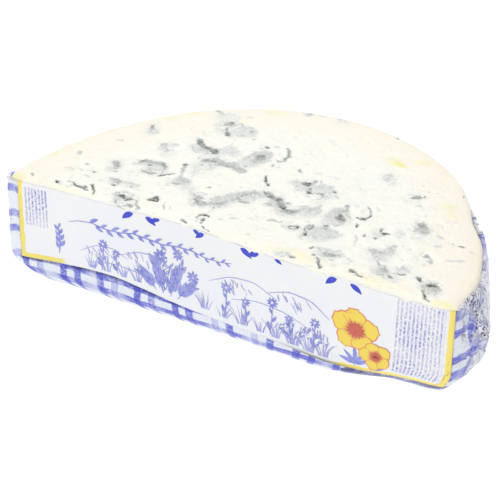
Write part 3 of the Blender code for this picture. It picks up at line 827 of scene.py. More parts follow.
def edge_inset(along):
    """How far inside the wall the level face ends: more on the right flank and round corners."""
    uneven = EDGE_UNEVEN * rough_noise(along, 0, 4.6, 9, 3) * (1 - tuck(along))
    flank = EDGE_IN_FLANK * between(along, FLANK_START, FLANK_END)
    flank = flank + sum(swelling(along, corner) for corner in EDGE_CORNERS)
    return EDGE_IN + (EDGE_IN_FRONT - EDGE_IN) * (1 - tuck(along)) + flank + uneven


def even_angles(start, end, steps):
    """Angles that part the outline from start to end into equal lengths, the last left out."""
    fine = np.linspace(start, end, 4000)
    along = lengths_along(*outline(fine, HEIGHT, 0))
    return np.interp(np.linspace(0, along[-1], steps + 1)[:-1], along, fine)


# %% Points of the cut face
edge_angles = np.concatenate([
    even_angles(LEFT_CORNER, RIGHT_CORNER, CELLS_WIDE),
    even_angles(RIGHT_CORNER, LEFT_CORNER + 2 * np.pi, CELLS_WIDE + 2 * CELLS_DEEP)])
face_index = np.arange((CELLS_WIDE + 1) * (CELLS_DEEP + 1)).reshape(CELLS_DEEP + 1, CELLS_WIDE + 1)
face_border = np.concatenate([face_index[0, :-1], face_index[:-1, -1],
                              face_index[-1, :0:-1], face_index[:0:-1, 0]])


def face_plan():
    """X, Y and share of the way to the edge. The square's u and v become the disc's
    u sqrt(1 - v v / 2) and v sqrt(1 - u u / 2), and the disc's edge is drawn out to the D's."""
    u, v = np.meshgrid(np.linspace(-1, 1, CELLS_WIDE + 1), np.linspace(-1, 1, CELLS_DEEP + 1))
    disc_x, disc_y = (u * np.sqrt(1 - v * v / 2)).ravel(), (v * np.sqrt(1 - u * u / 2)).ravel()
    share, turn = np.hypot(disc_x, disc_y), np.arctan2(disc_y, disc_x)
    border_turn = np.unwrap(turn[face_border])
    turn = np.where(turn < border_turn[0] - 1e-9, turn + 2 * np.pi, turn)
    here = np.interp(turn, np.append(border_turn, border_turn[0] + 2 * np.pi),
                     np.append(edge_angles, edge_angles[0] + 2 * np.pi))
    here[face_border] = edge_angles
    edge_x, edge_y = outline(here, HEIGHT, -edge_inset(along_at(here)) - settled(here, HEIGHT))
    return edge_x * share, HUB + (edge_y - HUB) * share, share


face_x, face_y, face_share = face_plan()
print(f"cut face: {face_x.size} points, {np.ptp(face_x):.1f} x {np.ptp(face_y):.1f} mm")


# %% Relief of the cut face
CRUMBS, CRUMBS_TORN, NODULES, PITS, CRACK_FLOOR = 0.05, 0.14, 0.5, 0.45, 0.25    # their heights
PIT_ZONE, CRACK_ZONE = (0.33, 0.55), (0.35, 0.95)    # the noise, and the darkness, where they start


def rim_distance(x, y):
    """How far a place on the face lies in from the round rim, along the line from the hub."""
    return rim_reach(np.arctan2(y - HUB, x), 0) - np.hypot(x, y - HUB)


def face_height(x, y, share, dark):
    """Height of the face: the wire's slow wave less the worn edge, plus crumbs and nodules less
    hollows, cracks and pits, which fade out at the edge."""
    wave = WAVE * (np.sin(x / WAVE_X + 1) * np.cos(y / WAVE_Y) - 1) / 2
    inner = ease((1 - share) / HOLLOWS_END)
    torn = veined(x, y, rim_distance(x, y))
    crumbs = (CRUMBS + CRUMBS_TORN * torn) * rough_noise(x, y, 5.5, 3.2, 3)
    nodules = NODULES * torn * np.abs(noise(x, y, 2.7, 11))
    pits = PITS * torn * rise(rough_noise(x, y, 7.7, 2.6, 2), PIT_ZONE)
    cracks = CRACK_DEPTH * rise(dark, CRACK_ZONE)
    sunk = np.maximum(hollow_depth(x, y), cracks) + CRACK_FLOOR * cracks + pits
    return HEIGHT + wave - LIP_ROUND * share**LIP_POWER + (crumbs + nodules - sunk) * inner


face_dark = mould_at(face_x, face_y, rim_distance(face_x, face_y))
face_z = face_height(face_x, face_y, face_share, face_dark)
print(f"relief of the face: {face_z.min():.2f} to {face_z.max():.2f} mm high")

# %% Sizes of the lip and the foot, from the floor of the foil up to the cut edge
FOOT_TURNS = np.linspace(0, np.pi / 2, 4)
LIP_SHARES = np.array([0, 0.15, 0.3, 0.5, 0.68, 0.8, 0.9, 0.96, 1])
LIP_FRONT, LIP_LEFT, LIP_RIM = 2.1, 3.0, 3.6   # how far below the face the lip starts: in front,
LIP_LEFT_ZONE = (-92, -62)                     # at the front's left end, and round the rim
LIP_OUT, LIP_HELD = 0.63, -0.1        # it stands out this far, and this far where the foil holds it
LIP_GAPS = ((162, 12, 2.2), (-106, 9, 1.3))   # at the right and left the foil stands off the paste
LIP_FULL_FRONT, LIP_FULL_RIM = 0.72, 0.3       # share of its height at which it is fullest
LIP_SWELL, LIP_CRUMBS, LIP_LUMPS = 1.3, 0.9, 0.25    # how unevenly it hangs, and its small lumps
HEM = 0.05                                     # it ends this far short of the face's edge


def lip_gap(along):
    """How far the lip stays behind the foil's torn edge at the right and at the left."""
    return sum(swelling(along, gap) for gap in LIP_GAPS)


# %% Rings of the lip, and of the whole side
def lip_rings(angle, top):
    """The lip: soft paste that hangs over the foil's edge, thick and thin by noise, and then
    slopes up to the edge of the face, or rounds in a quarter of an oval along the rim."""
    along = along_at(angle)
    held = tuck(along)
    hang = LIP_LEFT + (LIP_FRONT - LIP_LEFT) * rise(along, LIP_LEFT_ZONE)
    swollen = rough_noise(along, 0, 3.1, 7, 4)
    crumbly = np.maximum(rough_noise(along, 0, 6.3, 2.4, 2), -0.2) * (1 - held)
    hang = hang + (LIP_RIM - hang) * held + LIP_SWELL * np.maximum(swollen, -0.3) + LIP_CRUMBS * crumbly
    start = HEIGHT - hang
    stands_out = LIP_OUT + np.maximum(swollen, -0.1)
    bulge = stands_out * (1 - held) + LIP_HELD * held - lip_gap(along)
    full = LIP_FULL_FRONT + (LIP_FULL_RIM - LIP_FULL_FRONT) * held
    rings = []
    for share in LIP_SHARES:
        z = start + (top - 0.04 - start) * share
        lump = LIP_LUMPS * rough_noise(along, z, 1.1, 3.4, 2) * np.sin(np.pi * share)
        bulged = bulge + lump * (1 - held)
        out_of = -PASTE_INSET + (PASTE_INSET + bulged) * np.sin(np.pi / 2 * np.minimum(share / full, 1))
        over = np.maximum(share - full, 0) / (1 - full)
        inwards = 1 - np.sqrt(1 - over**2)
        outward = out_of - (bulged + edge_inset(along) - HEM) * inwards
        rings.append(skin(angle, z, outward))
    return rings


def paste_rings(angle):
    """Rings of the side from the floor up: a quarter round for the foot, then the lip."""
    radius = foot_radius(angle)
    feet = [skin(angle, radius - (radius - PASTE_INSET) * np.cos(t), -PASTE_INSET) for t in FOOT_TURNS]
    return feet + lip_rings(angle, face_z[face_border])


# %% Put the cheese together
WARM_ZONE, RIM_ZONE = (6, 34), (0, 9)                 # distances in from the rim
FRONT_WARM_ZONE, FRONT_WARM_START, FRONT_WARM = (2, 13), (-12, 2), 0.7    # warm along the front too
RIM_STRONG, BUTTER_EDGE = 0.75, 2.2


def paste_values(points, top):
    """Mould, warmth, pale rim, butter and bloom at each point. The points of the side, which come
    before top, read the marks of a level sheet that is folded down over the edge."""
    x, y = points[:, 0], points[:, 1] - FRONT_Y
    drop = np.where(np.arange(len(points)) < top, HEIGHT - points[:, 2], 0)
    reach = np.hypot(x, y - HUB)
    out_x, out_y = x * (1 + drop / reach), HUB + (y - HUB) * (1 + drop / reach)
    inset = rim_distance(x, y)
    dark = np.concatenate([mould_at(out_x[:top], out_y[:top], inset[:top]), face_dark])
    warm = 1 - rise(inset + 9 * noise(x, y, 3.3, 30), WARM_ZONE)
    front = (1 - rise(y + 4 * noise(x, y, 4.1, 25), FRONT_WARM_ZONE)) * rise(x, FRONT_WARM_START)
    rim = (1 - rise(inset + 3 * noise(x, y, 5.2, 18), RIM_ZONE)) * RIM_STRONG
    butter_x, butter_y = frayed(x, y)
    butter = strongest(mark[5] * dab(butter_x, butter_y, mark, BUTTER_EDGE) for mark in BUTTERY)
    return {"mould": dark, "warm": np.maximum(warm, front * FRONT_WARM), "rim": rim,
            "butter": butter, "halo": halo_at(out_x, out_y, inset)}


def make_cheese():
    """Joins the rings of the side, the floor, and the face, whose border meets the last ring."""
    count = len(edge_angles)
    rings = paste_rings(edge_angles)
    side = np.concatenate(rings)
    face = np.stack([face_x, FRONT_Y + face_y, face_z], -1)
    top = len(side)
    lip, border = np.arange(top - count, top), top + face_border
    hem = np.stack([lip, np.roll(lip, -1), np.roll(border, -1), border], -1)
    faces = [grid_cells(len(rings), count, True), np.arange(count)[None, ::-1], hem,
             grid_cells(CELLS_DEEP + 1, CELLS_WIDE + 1, False, top)]
    points = np.concatenate([side, face])
    values = paste_values(points, top)
    made = new_piece("half_wheel", points, faces, PASTE, ["cheese"], values=values)


make_cheese()

# %% [markdown]
# ## The finish of the foil
# The foil is thin, slightly shiny, and printed with a traditional blue and white check: pairs of
# bands across and along, darkest where they cross. Here and there the print is strong, and a few
# dark strokes show against the panel's foot: partly dark print, and partly painted shadow that the
# panel casts on the foil. Where the foil is crushed it breaks up into shards: each slips the check a
# little, some get a painted near-white highlight, some a painted grey shade and some a violet face,
# and painted shade lies in the folds and along the edges between them. The ridges of folds, and the
# high facets round the corners, get a painted highlight. Where it is scrunched, at the top of the
# right corner, it is a scribble of pale lines of painted highlight and dark lines of painted shade.

# %% Foil
CHECK_PITCH, BAND_GAP, BAND_WIDTH, BAND_EDGE = 18.6, 7.0, 3.4, 0.3
CHECK_START_ALONG, CHECK_START_UP = 2.0, 8.5
FOIL_WHITE, FOIL_LILAC = seen(232, 236, 244), seen(212, 216, 239)
BAND_SINGLE, BAND_STRONG, BAND_CROSSED = seen(142, 147, 222), seen(96, 102, 208), seen(66, 74, 194)
# on the next line, the shard grey and the crease colour are painted shade
BARE_FOIL, SHARD_SHADE, CREASE_SHADE = seen(190, 194, 210), seen(204, 203, 234), seen(52, 54, 84)
# the foil shine is a painted highlight, and the dark ink is partly print and partly painted shadow
FOIL_SHINE, DARK_INK_AND_SHADOW = seen(244, 247, 252), seen(30, 34, 112)
SHARD_SCALE, SCRIBBLE_SCALE, BEND_SCALE = 0.15, 0.6, 0.16    # how many to the millimetre
BEND, SLIP_ALONG, SLIP_UP, WOBBLE = 5.0, 7.0, 6.0, 3.0       # how far each moves the print, at most
SHINE_SHARE, SHARD_SHADE_SHARE, TURNED_SHARE = 0.9, 0.35, 0.75    # how plainly painted highlights, painted shade and violet faces show
FOIL_BUMP, FOIL_BUMP_DEPTH, SHARD_TILT = 0.4, 0.3, 3.0


def band_share(place, start):
    """1 inside either band of a pair, 0 outside: the distance to the pair's middle, folded."""
    from_pair = (place - start).math("PINGPONG", CHECK_PITCH / 2)
    from_band = abs(from_pair - BAND_GAP / 2)
    return 1.0 - step(from_band, BAND_WIDTH / 2 - BAND_EDGE, BAND_WIDTH / 2 + BAND_EDGE)


def print_places(tree):
    """The print's two coordinates in millimetres, and the same as one vector."""
    places = put(tree, "UVMap", uv_map="print")
    return put(tree, "SeparateXYZ", {0: places}, 0), put(tree, "SeparateXYZ", {0: places}, 1), places


# %% Crushed and scrunched foil
def shards(tree, bent):
    """Crushed foil as cells of a bent pattern: two chances drawn for each cell, and the distance
    to the cell's edge."""
    cell = put(tree, "TexVoronoi", {"Vector": bent, "Scale": SHARD_SCALE}, 1)
    edge = put(tree, "TexVoronoi", {"Vector": bent, "Scale": SHARD_SCALE}, feature="DISTANCE_TO_EDGE")
    chance, other = (put(tree, "SeparateXYZ", {0: cell}, k) for k in (0, 1))
    return chance, other, edge


def crushed_colours(tree, colour, thread, chance, other, edge):
    """Over the check: shards with a painted highlight, a painted shade or a violet face, painted
    highlights on fold ridges, bare metal, and painted shade in folds and between shards.
    """
    crushed = named_value(tree, "crushed")
    # painted highlight: some shards turn near-white, as facets that catch the light
    shining = step(chance, 0.42, 0.46) * step(crushed, 0.3, 0.6)
    colour = blend(shining * SHINE_SHARE, colour, FOIL_SHINE)
    # painted shade: some shards turn grey, as facets turned away from the light
    colour = blend(step(other, 0.55, 0.75) * crushed * SHARD_SHADE_SHARE, colour, SHARD_SHADE)
    turned = step(other, 0.80, 0.84) * step(crushed, 0.4, 0.7)
    colour = blend(turned * TURNED_SHARE, colour, BAND_SINGLE)
    # painted highlight along the ridges of folds
    colour = blend(named_value(tree, "fold"), colour, FOIL_WHITE)
    colour = blend(named_value(tree, "bare"), colour, BARE_FOIL)
    # painted shade in the folds and along the edges between shards
    shard_edge_shade = (1.0 - step(edge, 0.015, 0.07)) * step(thread, 0.42, 0.56) * step(crushed, 0.25, 0.8)
    return blend(named_value(tree, "crease").math("MAXIMUM", shard_edge_shade), colour, CREASE_SHADE)


def scrunched_colours(tree, colour, thread, bent):
    """Where the foil is scrunched: painted highlights as pale wandering lines, and painted shade as dark
    ones.
    """
    scrunched = named_value(tree, "scrunched")
    scribble = abs(spots(tree, bent, SCRIBBLE_SCALE) - 0.5)
    # painted highlight along pale scribbled lines
    colour = blend(step(scribble, 0.03, 0.08) * scrunched * SHINE_SHARE, colour, FOIL_SHINE)
    # painted shade along dark scribbled lines
    dark = (1.0 - step(scribble, 0.03, 0.07)) * step(scrunched, 0.25, 0.7)
    return blend(dark * step(thread, 0.40, 0.52), colour, CREASE_SHADE)


# %% The foil's finish
def foil_finish():
    """The check, slipped shard by shard and worn by noise, then dark print that is partly painted
    shadow of the panel's foot, then crushed foil with its painted highlights and painted shade.
    """
    finish, tree, shader = new_finish("printed_foil", 0.3, 0.35)
    along, up, places = print_places(tree)
    crushed = named_value(tree, "crushed")
    bend = spots(tree, places, BEND_SCALE, out=1)
    bent = put(tree, "VectorMath", {0: bend, 1: (BEND, BEND, BEND), 2: places}, operation="MULTIPLY_ADD")
    chance, other, edge = shards(tree, bent)
    thread = spots(tree, places, 1.1, 3.0, 0.7)

    wobble = (spots(tree, places, 0.06, 1.0) - 0.5) * WOBBLE
    slip = (chance - 0.5) * (crushed * SLIP_ALONG) + wobble
    lift = (other - 0.5) * (crushed * SLIP_UP) + wobble
    across_band = band_share(along + slip, CHECK_START_ALONG)
    level_band = band_share(up + lift, CHECK_START_UP)
    single, crossed = across_band.math("MAXIMUM", level_band), across_band * level_band

    strong = named_value(tree, "inked").math("MAXIMUM", crushed * 0.6)
    drawn_out = put(tree, "Mapping", {0: places, 3: (0.35, 1.7, 1.0)})
    streak = spots(tree, drawn_out, 0.8, 3.0, 0.7)
    worn = limited((thread * 1.5 + (streak * 1.5 - 0.75)) * (strong * 0.85 + 0.45))
    flecked = blend(step(thread, 0.5, 0.7), FOIL_WHITE, FOIL_LILAC)
    band = blend(step(strong, 0.3, 0.9), BAND_SINGLE, BAND_STRONG)
    colour = blend(single * worn, flecked, band)
    colour = blend(crossed * worn, colour, BAND_CROSSED)
    # dark print, partly painted shadow that the panel's foot casts on the foil
    colour = blend(named_value(tree, "dark") * step(thread, 0.25, 0.5), colour, DARK_INK_AND_SHADOW)
    colour = crushed_colours(tree, colour, thread, chance, other, edge)
    colour_with(shader, scrunched_colours(tree, colour, thread, bent))

    tilted = edge * SHARD_TILT * crushed + spots(tree, places, 0.7, 4.0, 0.6)
    bump_with(shader, tilted, FOIL_BUMP, FOIL_BUMP_DEPTH)
    return finish


FOIL = foil_finish()

# %% [markdown]
# ## The foil tray
# Foil keeps every fold it was given. It could be simulated as cloth, but cloth springs back and
# foil doesn't. So its folds are computed: flat facets with sharp edges, faint where it lies smooth
# and deep at the right corner where it was crushed, and pleats that grow towards the base, where a
# round rim leaves too much foil. The tray is one closed shell with a thin wall. Its torn edge is
# turned in as a narrow ledge under the lip of paste, and it stands off the cheese at the right.

# %% Relief of the foil
FOIL_COLUMNS = 900
FOIL_THIN = 0.22
CRUSHED = (120, 13, 1.9)              # where along the wall it is crushed, how wide, how deep
CRUSH_SIZES = (11, 8, 6, 4.5, 3.4)    # sizes of the crushed facets
CORNER_START, CORNER_END = (99, 105), (-103, -98)    # beyond these the foil is round a corner
BARS_AT = (0, 20, 26.5, 39, 46, 51)   # heights on the right flank, and the heights of the print
BARS_PRINT = (16, 23.6, 30.6, 42.2, 49.2, 52)    # that show there
FRONT_PRINT = 2.2                     # on the front the print sits this much higher
INKED = (                             # where the print is strong: along the wall, half width
    (-93, 6), (-76, 5), (-68, 6), (-55, 4), (-40, 9), (-22, 11), (-9, 6), (7, 6), (28, 8), (40, 8),
    (58, 7), (82, 22), (103, 16), (-118, 22),
)
DARK_PRINT_AND_SHADOW = (                        # dark lines against the panel's foot, partly print and partly painted shadow: width and path
    (6.4, (60, 7.4, 72, 8, 86, 8.6, 100, 9.4)), (1.5, (-74, 14.1, -62, 15.3, -50, 15.8, -38, 15)),
    (1.3, (-97, 12.4, -88, 12.8, -80, 13.4)), (1.4, (-36, 14.4, -26, 13.8, -18, 13)),
)
PLEATS, PLEAT_DEPTH, PLEAT_TOP, PLEAT_ZONE = 46, 0.7, 17, (112, 150)
CALM, CALM_FREE, CALM_SIZES = 0.10, 0.45, (17, 11, 8, 6)    # faint facets: in front, and more round it
CRUSHED_UP, HELD_UP = (6, 24), (40, 47)    # heights over which it gets crushed, and the lip holds it
CREASES = (                           # width, depth, and the path: along the wall and up it
    (1.3, 1.0, (104.5, 37, 107.5, 34.5, 111, 33.8, 116, 31.5)),
    (1.0, 0.7, (103, 47, 105.5, 41, 105, 34)), (0.9, 0.6, (112, 46, 114, 38, 113, 30, 116, 22)),
    (0.9, 0.5, (104, 24, 109, 21, 117, 22)), (0.9, 0.5, (122, 44, 119, 33, 124, 20)),
    (0.8, 0.5, (-101, 30, -104, 26, -103, 15)), (0.8, 0.4, (-104, 44, -106, 36, -105, 28)),
)


def off_front(along):
    """0 on the flat front and 1 round the corners."""
    return np.maximum(rise(along, CORNER_START), 1 - rise(along, CORNER_END))


# %% How far the foil stands off the wall
def foil_relief(along, up):
    """How far the foil stands off the plain wall: facets, crushed facets and pleats."""
    free = off_front(along)
    calm = (CALM + CALM_FREE * free) * facets(along, up, CALM_SIZES, 5)
    crushed = swelling(along, CRUSHED) * free * rise(up, CRUSHED_UP)
    crushed = crushed * facets(along, up, CRUSH_SIZES, 8) ** 1.3
    wander = along + 1.5 * noise(along, up, 2.9, 14)
    fold = np.abs(2 * ((wander * PLEATS / WALL_LENGTH) % 1) - 1) ** 1.5
    low = 1 - rise(up, (-4, PLEAT_TOP + 8 * noise(along, 0, 7.1, 9)))
    pleats = PLEAT_DEPTH * fold * rise(np.abs(along), PLEAT_ZONE) * low
    creases = sum(0.5 * deep * stroke(along, up, width, path, 0.8) for width, deep, path in CREASES)
    held = 1 - 0.8 * tuck(along) * rise(up, HELD_UP)
    return (calm + crushed + pleats - creases * free) * held


# %% Flare and torn edge
FLARE, FLARE_START, FLARE_END, FLARE_UP = 0.6, (106, 118), (148, 172), (20, 42)
RUFFLE, RUFFLE_START, RUFFLE_END, RUFFLE_UP = 1.0, (100, 106), (155, 172), (38, 46)
RAGGED, EDGE_HIGHER, CORNER_PEAK = 0.9, 1.2, (109, 7, 1.5)
EDGE_LOWER, LOWER_START, LOWER_END = 1.5, (168, 180), (230, 250)


def flare(along, up):
    """The foil stands off the cheese on the right flank, more towards its torn and ruffled edge."""
    stands = between(along, FLARE_START, FLARE_END) * rise(up, FLARE_UP)
    ruffled = between(along, RUFFLE_START, RUFFLE_END) * rise(up, RUFFLE_UP)
    return FLARE * stands + RUFFLE * ruffled * rough_noise(along, up, 5.8, 4.0, 2)


def foil_edge(along):
    """Height of the torn edge: ragged, highest at the right corner and lowest at the back right."""
    ragged = RAGGED * rough_noise(along, 0, 6.6, 9, 4) * off_front(along)
    peak = swelling(along, CORNER_PEAK) * (1 + 0.8 * rough_noise(along, 0, 9.4, 2.5, 2))
    lower = EDGE_LOWER * between(along, LOWER_START, LOWER_END)
    return HEIGHT - FOIL_DROP + ragged + EDGE_HIGHER * tuck(along) + peak - lower


# %% Rows of the foil, from the middle of the base to the torn edge and down the inside
BASE_SHARES = np.array([0.08, 0.2, 0.32, 0.44, 0.56, 0.68, 0.78, 0.86, 0.92, 0.96, 0.985])
FOIL_TURNS = np.linspace(0, np.pi / 2, 15)
FOIL_SHARES = np.linspace(0, 1, 66)[1:]
LEDGE_DROP, LEDGE_IN = 0.7, 0.7       # inside its torn edge the foil is turned in: below it, and in
INNER_SHARES, INNER_TURNS = (0.93, 0.75, 0.45, 0.0), (1.2, 0.7, 0.3, 0.05)
FLOOR_THICK, FOOT_THICK = 0.62, 0.5   # the wall is thicker where the cheese stands on it
BASE_UP = -20                         # the height that points of the base give: below every mark
BASE_PLEAT, BASE_PLEAT_ZONE = 0.45, (105, 125)


def base_point(floor_ring, share, height):
    """A point of the base: a share of the way from the hub to the ring where the foot starts."""
    hub = np.array([0.0, FRONT_Y + HUB])
    plan = hub + (floor_ring[:, :2] - hub) * share
    return np.concatenate([plan, np.broadcast_to(height, len(plan))[:, None]], -1)


def base_height(along, share):
    """The base lies flat, but for pleats that run in from the round rim and fade out."""
    wander = along + 3 * noise(along, share * 40, 1.9, 25)
    fold = np.abs(2 * ((wander * PLEATS / 2 / WALL_LENGTH) % 1) - 1)
    outer = between(share, (0.35, 0.9), (0.95, 1))
    return BASE_PLEAT * (1 - fold) * rise(np.abs(along), BASE_PLEAT_ZONE) * outer


# %% All the rings of the tray
def foil_rings(angle, along):
    """Rings of points and the print's height at each: out over the base, up the foot and the wall
    to the torn edge, in over the ledge, and down the inside."""
    radius, edge = foot_radius(angle), foil_edge(along)
    floor_ring = skin(angle, 0 * angle, 0)

    def stands_off(up):
        """How far the wall stands out at a height."""
        return foil_relief(along, up) + flare(along, up)

    rings = [base_point(floor_ring, share, base_height(along, share)) for share in BASE_SHARES]
    ups = [0 * along + BASE_UP] * len(rings)
    for turn in FOIL_TURNS:
        up = radius * (1 - (np.pi / 2 - turn))
        out = foil_relief(along, up) * ease(turn / 0.4)
        rings.append(skin(angle, radius - (radius + out) * np.cos(turn), out))
        ups.append(up)
    for share in FOIL_SHARES:
        up = radius + (edge - radius) * share
        rings.append(skin(angle, up, stands_off(up)))
        ups.append(up)
    rings.append(skin(angle, edge, stands_off(edge) - FOIL_THIN))
    rings.append(skin(angle, edge - LEDGE_DROP, -LEDGE_IN - lip_gap(along)))
    ups += [edge, edge - LEDGE_DROP]
    for share in INNER_SHARES:
        up = radius + (edge - radius) * share
        rings.append(skin(angle, up, stands_off(up) - FOIL_THIN))
        ups.append(up)
    for turn in INNER_TURNS:
        rings.append(skin(angle, radius - (radius - FOOT_THICK) * np.cos(turn), -FOOT_THICK + 0 * angle))
        ups.append(radius * (1 - (np.pi / 2 - turn)))
    rings.append(base_point(floor_ring, 0.5, FLOOR_THICK))
    return rings, ups + [ups[-1]]


# %% The print on the foil, and the marks it carries
SLIP, SLIP_SIZES, SLIP_ZONE = 0.8, (9, 6, 4), (125, 12, 3)
BESIDE_START, BESIDE_END = (94, 99), (128, 145)     # the right flank, where BARS_PRINT holds
FRONT_PRINT_START = (-103, -98)
RAISED_START, RAISED_END, RAISED_UP = (-145, -128), (-102, -94), (4, 14)    # the left corner, where
RAISED_BY, RAISED_AT, RAISED_MORE = 1.3, 28, 0.07    # it is raised by this at a height, and more above it
FLANK_ZONE, FLANK_UP = (120, 14, 1), (3, 12)
CRUSHED_PRINT, CRUSHED_START, CRUSHED_PRINT_UP = (123, 14, 1.1), (104, 115), (2, 9)
CRUSHED_BACK, CRUSHED_BACK_UP = (168, 26, 0.8), (43, 46)
SCRUNCHED, SCRUNCHED_UP = (111, 9, 1), (42, 47)
SCRUNCHED_PATH = (112, 48, 114, 43, 113, 37, 117, 32, 122, 28)
BARE, BARE_UP, BARE_SHARE = (109, 9, 1.0), (37, 44), 0.3


def print_slip(along, up):
    """How far the print is shifted along the wall and up it: by each facet round the corners, to
    where its bars show on the right flank, up at the left corner, and a little on the front."""
    slip = off_front(along) * (SLIP + swelling(along, SLIP_ZONE))
    slip_along, slip_up = (slip * (facets(along, up, SLIP_SIZES, seed) - 0.5) for seed in (12, 13))
    on_flank = between(along, BESIDE_START, BESIDE_END)
    on_front = between(along, FRONT_PRINT_START, BESIDE_START)
    raised = between(along, RAISED_START, RAISED_END) * rise(up, RAISED_UP)
    slip_up = slip_up + on_flank * (np.interp(up, BARS_AT, BARS_PRINT) - up)
    slip_up = slip_up - raised * (RAISED_BY + RAISED_MORE * (up - RAISED_AT)) - FRONT_PRINT * on_front
    return np.stack([slip_along, slip_up], -1)


# %% What the foil's finish reads at each point
def foil_values(along, up):
    free = off_front(along)
    flank = swelling(along, FLANK_ZONE) * free * rise(up, FLANK_UP)
    # painted shade in the creases and in the valleys of the crushed folds
    scored = strongest(deep * stroke(along, up, width * 0.8, path, 0.5) for width, deep, path in CREASES)
    valleys = 0.9 * flank * fold_lines(along, up, CRUSH_SIZES[1:], 8, 0)
    crease = np.maximum(scored, valleys) * (0.6 + 0.8 * rough_noise(along, up, 2.1, 5.0))
    # painted highlight along the ridges of the crushed folds, and on the high calm facets round the corners
    ridges = 0.8 * flank * fold_lines(along, up, CRUSH_SIZES[2:], 8, 1, 0.25)
    fold = np.maximum(0.4 * rise(facets(along, up, CALM_SIZES, 5), (0.62, 0.8)) * free, ridges)

    crushed = np.clip(swelling(along, CRUSHED_PRINT) + 0.14, 0, 1) * free
    crushed = crushed * (0.25 + 0.75 * rise(along, CRUSHED_START))
    crushed = np.maximum(crushed, swelling(along, CRUSHED_BACK) * rise(up, CRUSHED_BACK_UP))
    scrunched = np.maximum(swelling(along, SCRUNCHED) * rise(up, SCRUNCHED_UP),
                           stroke(along, up, 3.4, SCRUNCHED_PATH, 2.0))
    bare = swelling(along, BARE) * rise(up, BARE_UP) * (0.5 + rough_noise(along, up, 4.7, 3.0))
    # dark lines under the panel's foot: partly print and partly painted shadow of the panel
    dark = strongest(stroke(along, up, width, path, 1.0) for width, path in DARK_PRINT_AND_SHADOW)
    dark = dark * np.clip(0.85 + 0.9 * rough_noise(along, up, 8.6, 4), 0, 1)
    inked = strongest(swelling(along, (place, wide, 1)) for place, wide in INKED)
    inked = inked + 0.5 * rough_noise(along, up, 6.1, 16)
    return {"bare": BARE_SHARE * ease(2.4 * bare), "dark": dark, "crease": np.clip(crease, 0, 0.9),
            "fold": np.clip(fold, 0, 1), "scrunched": scrunched * free,
            "crushed": crushed * rise(up, CRUSHED_PRINT_UP), "inked": np.clip(inked, 0, 1)}


# %% Put the foil tray together
def make_foil():
    """Joins the rings, with a fan of triangles at each end, and lays the print on: the wall's by
    distance along it and up it, the base's by plain X and Y."""
    along = np.linspace(WALL_START, WALL_END, FOIL_COLUMNS + 1)[:-1]
    rings, ups = foil_rings(angle_at(along), along)
    hub = [0, FRONT_Y + HUB]
    points = np.concatenate(rings + [[[*hub, 0.0]], [[*hub, FLOOR_THICK]]])
    under, over = len(points) - 2, len(points) - 1
    cells = grid_cells(len(rings), FOIL_COLUMNS, True)
    first, last = np.arange(FOIL_COLUMNS), np.arange(FOIL_COLUMNS) + FOIL_COLUMNS * (len(rings) - 1)
    below = np.stack([0 * first + under, np.roll(first, -1), first], -1)
    inside = np.stack([last, np.roll(last, -1), 0 * last + over], -1)

    along, up = np.tile(along, len(rings)), np.concatenate(ups)
    strip = np.stack([along, up], -1) + print_slip(along, up)
    cell_map = strip[cells.ravel()].reshape(len(cells), 4, 2)
    wraps = cells[:, 1] % FOIL_COLUMNS == 0
    cell_map[wraps, 1:3, 0] += WALL_LENGTH
    flat = points[:, :2] - [0, FRONT_Y]
    base_cells = np.arange(len(cells)) < len(BASE_SHARES) * FOIL_COLUMNS
    cell_map[base_cells] = flat[cells[base_cells].ravel()].reshape(-1, 4, 2)
    print_map = np.concatenate([cell_map.reshape(-1, 2), flat[below.ravel()], flat[inside.ravel()]])
    values = foil_values(np.append(along, [0, 0]), np.append(up, [0, 0]))
    made = new_piece("foil_tray", points, [cells, below, inside], FOIL, ["wrapper"], print_map, values)


make_foil()

# %% [markdown]
# ## The printed panel
# The panel is a thin sheet over the foil's front, from corner to corner, with its upper edge close
# under the lip of paste. It is pale lilac-white, with a yellow frame that was cut by hand and so
# isn't straight. Its lower edge has come loose at the right, and a dark slit of painted shadow lies
# under it; small creases at its ends get painted shade in their valleys. At both ends it has a band
# of plain ruled lines, and between them a meadow frieze that is drawn further on. The frame could
# be an object of its own, but it is print, so it is colour in the sheet's finish.

# %% Panel
PANEL_FOOT, PANEL_TOP = 13.2, HEIGHT - 1.0    # heights of its lower and upper edge
PANEL_RISE, PANEL_DIP = (-52, 26, 3.4), (50, 30, 2.0)
PANEL_OUT, PANEL_THIN = 0.52, 0.16    # its outer surface off the wall, and how thin it is
PANEL_LEFT, PANEL_RIGHT = -94.9, 99.4
PANEL_COLUMNS, PANEL_ROWS = 460, 76
LOOSE_EDGE, LOOSE_UP = (48, 13, 1.5), (0, 5)    # where it has come loose, and how far up from its foot
SWELL, SWELL_UNEVEN = 0.16, 0.14
PUCKER_RIGHT, PUCKER_RIGHT_ZONE, PUCKER_UP = 0.22, (91, 97), (22, 32)
PUCKER_LEFT, PUCKER_LEFT_ZONE = 0.12, (-97, -92)


def panel_foot(x):
    """Height of the panel's lower edge."""
    return PANEL_FOOT + swelling(x, PANEL_RISE) - swelling(x, PANEL_DIP)


def panel_relief(along, up):
    """How far the panel stands off: slow swells, a loose lower edge and small creases at its ends."""
    swell = SWELL + SWELL_UNEVEN * noise(along, up, 6.9, 21)
    loose = swelling(along, LOOSE_EDGE) * (1 - rise(up - panel_foot(along), LOOSE_UP))
    right = rise(along, PUCKER_RIGHT_ZONE) * (1 - rise(up, PUCKER_UP))
    pucker = PUCKER_RIGHT * facets(along, up, (6, 4), 3) * right
    pucker = pucker + PUCKER_LEFT * facets(along, up, (5, 3), 4) * (1 - rise(along, PUCKER_LEFT_ZONE))
    return swell + loose + pucker


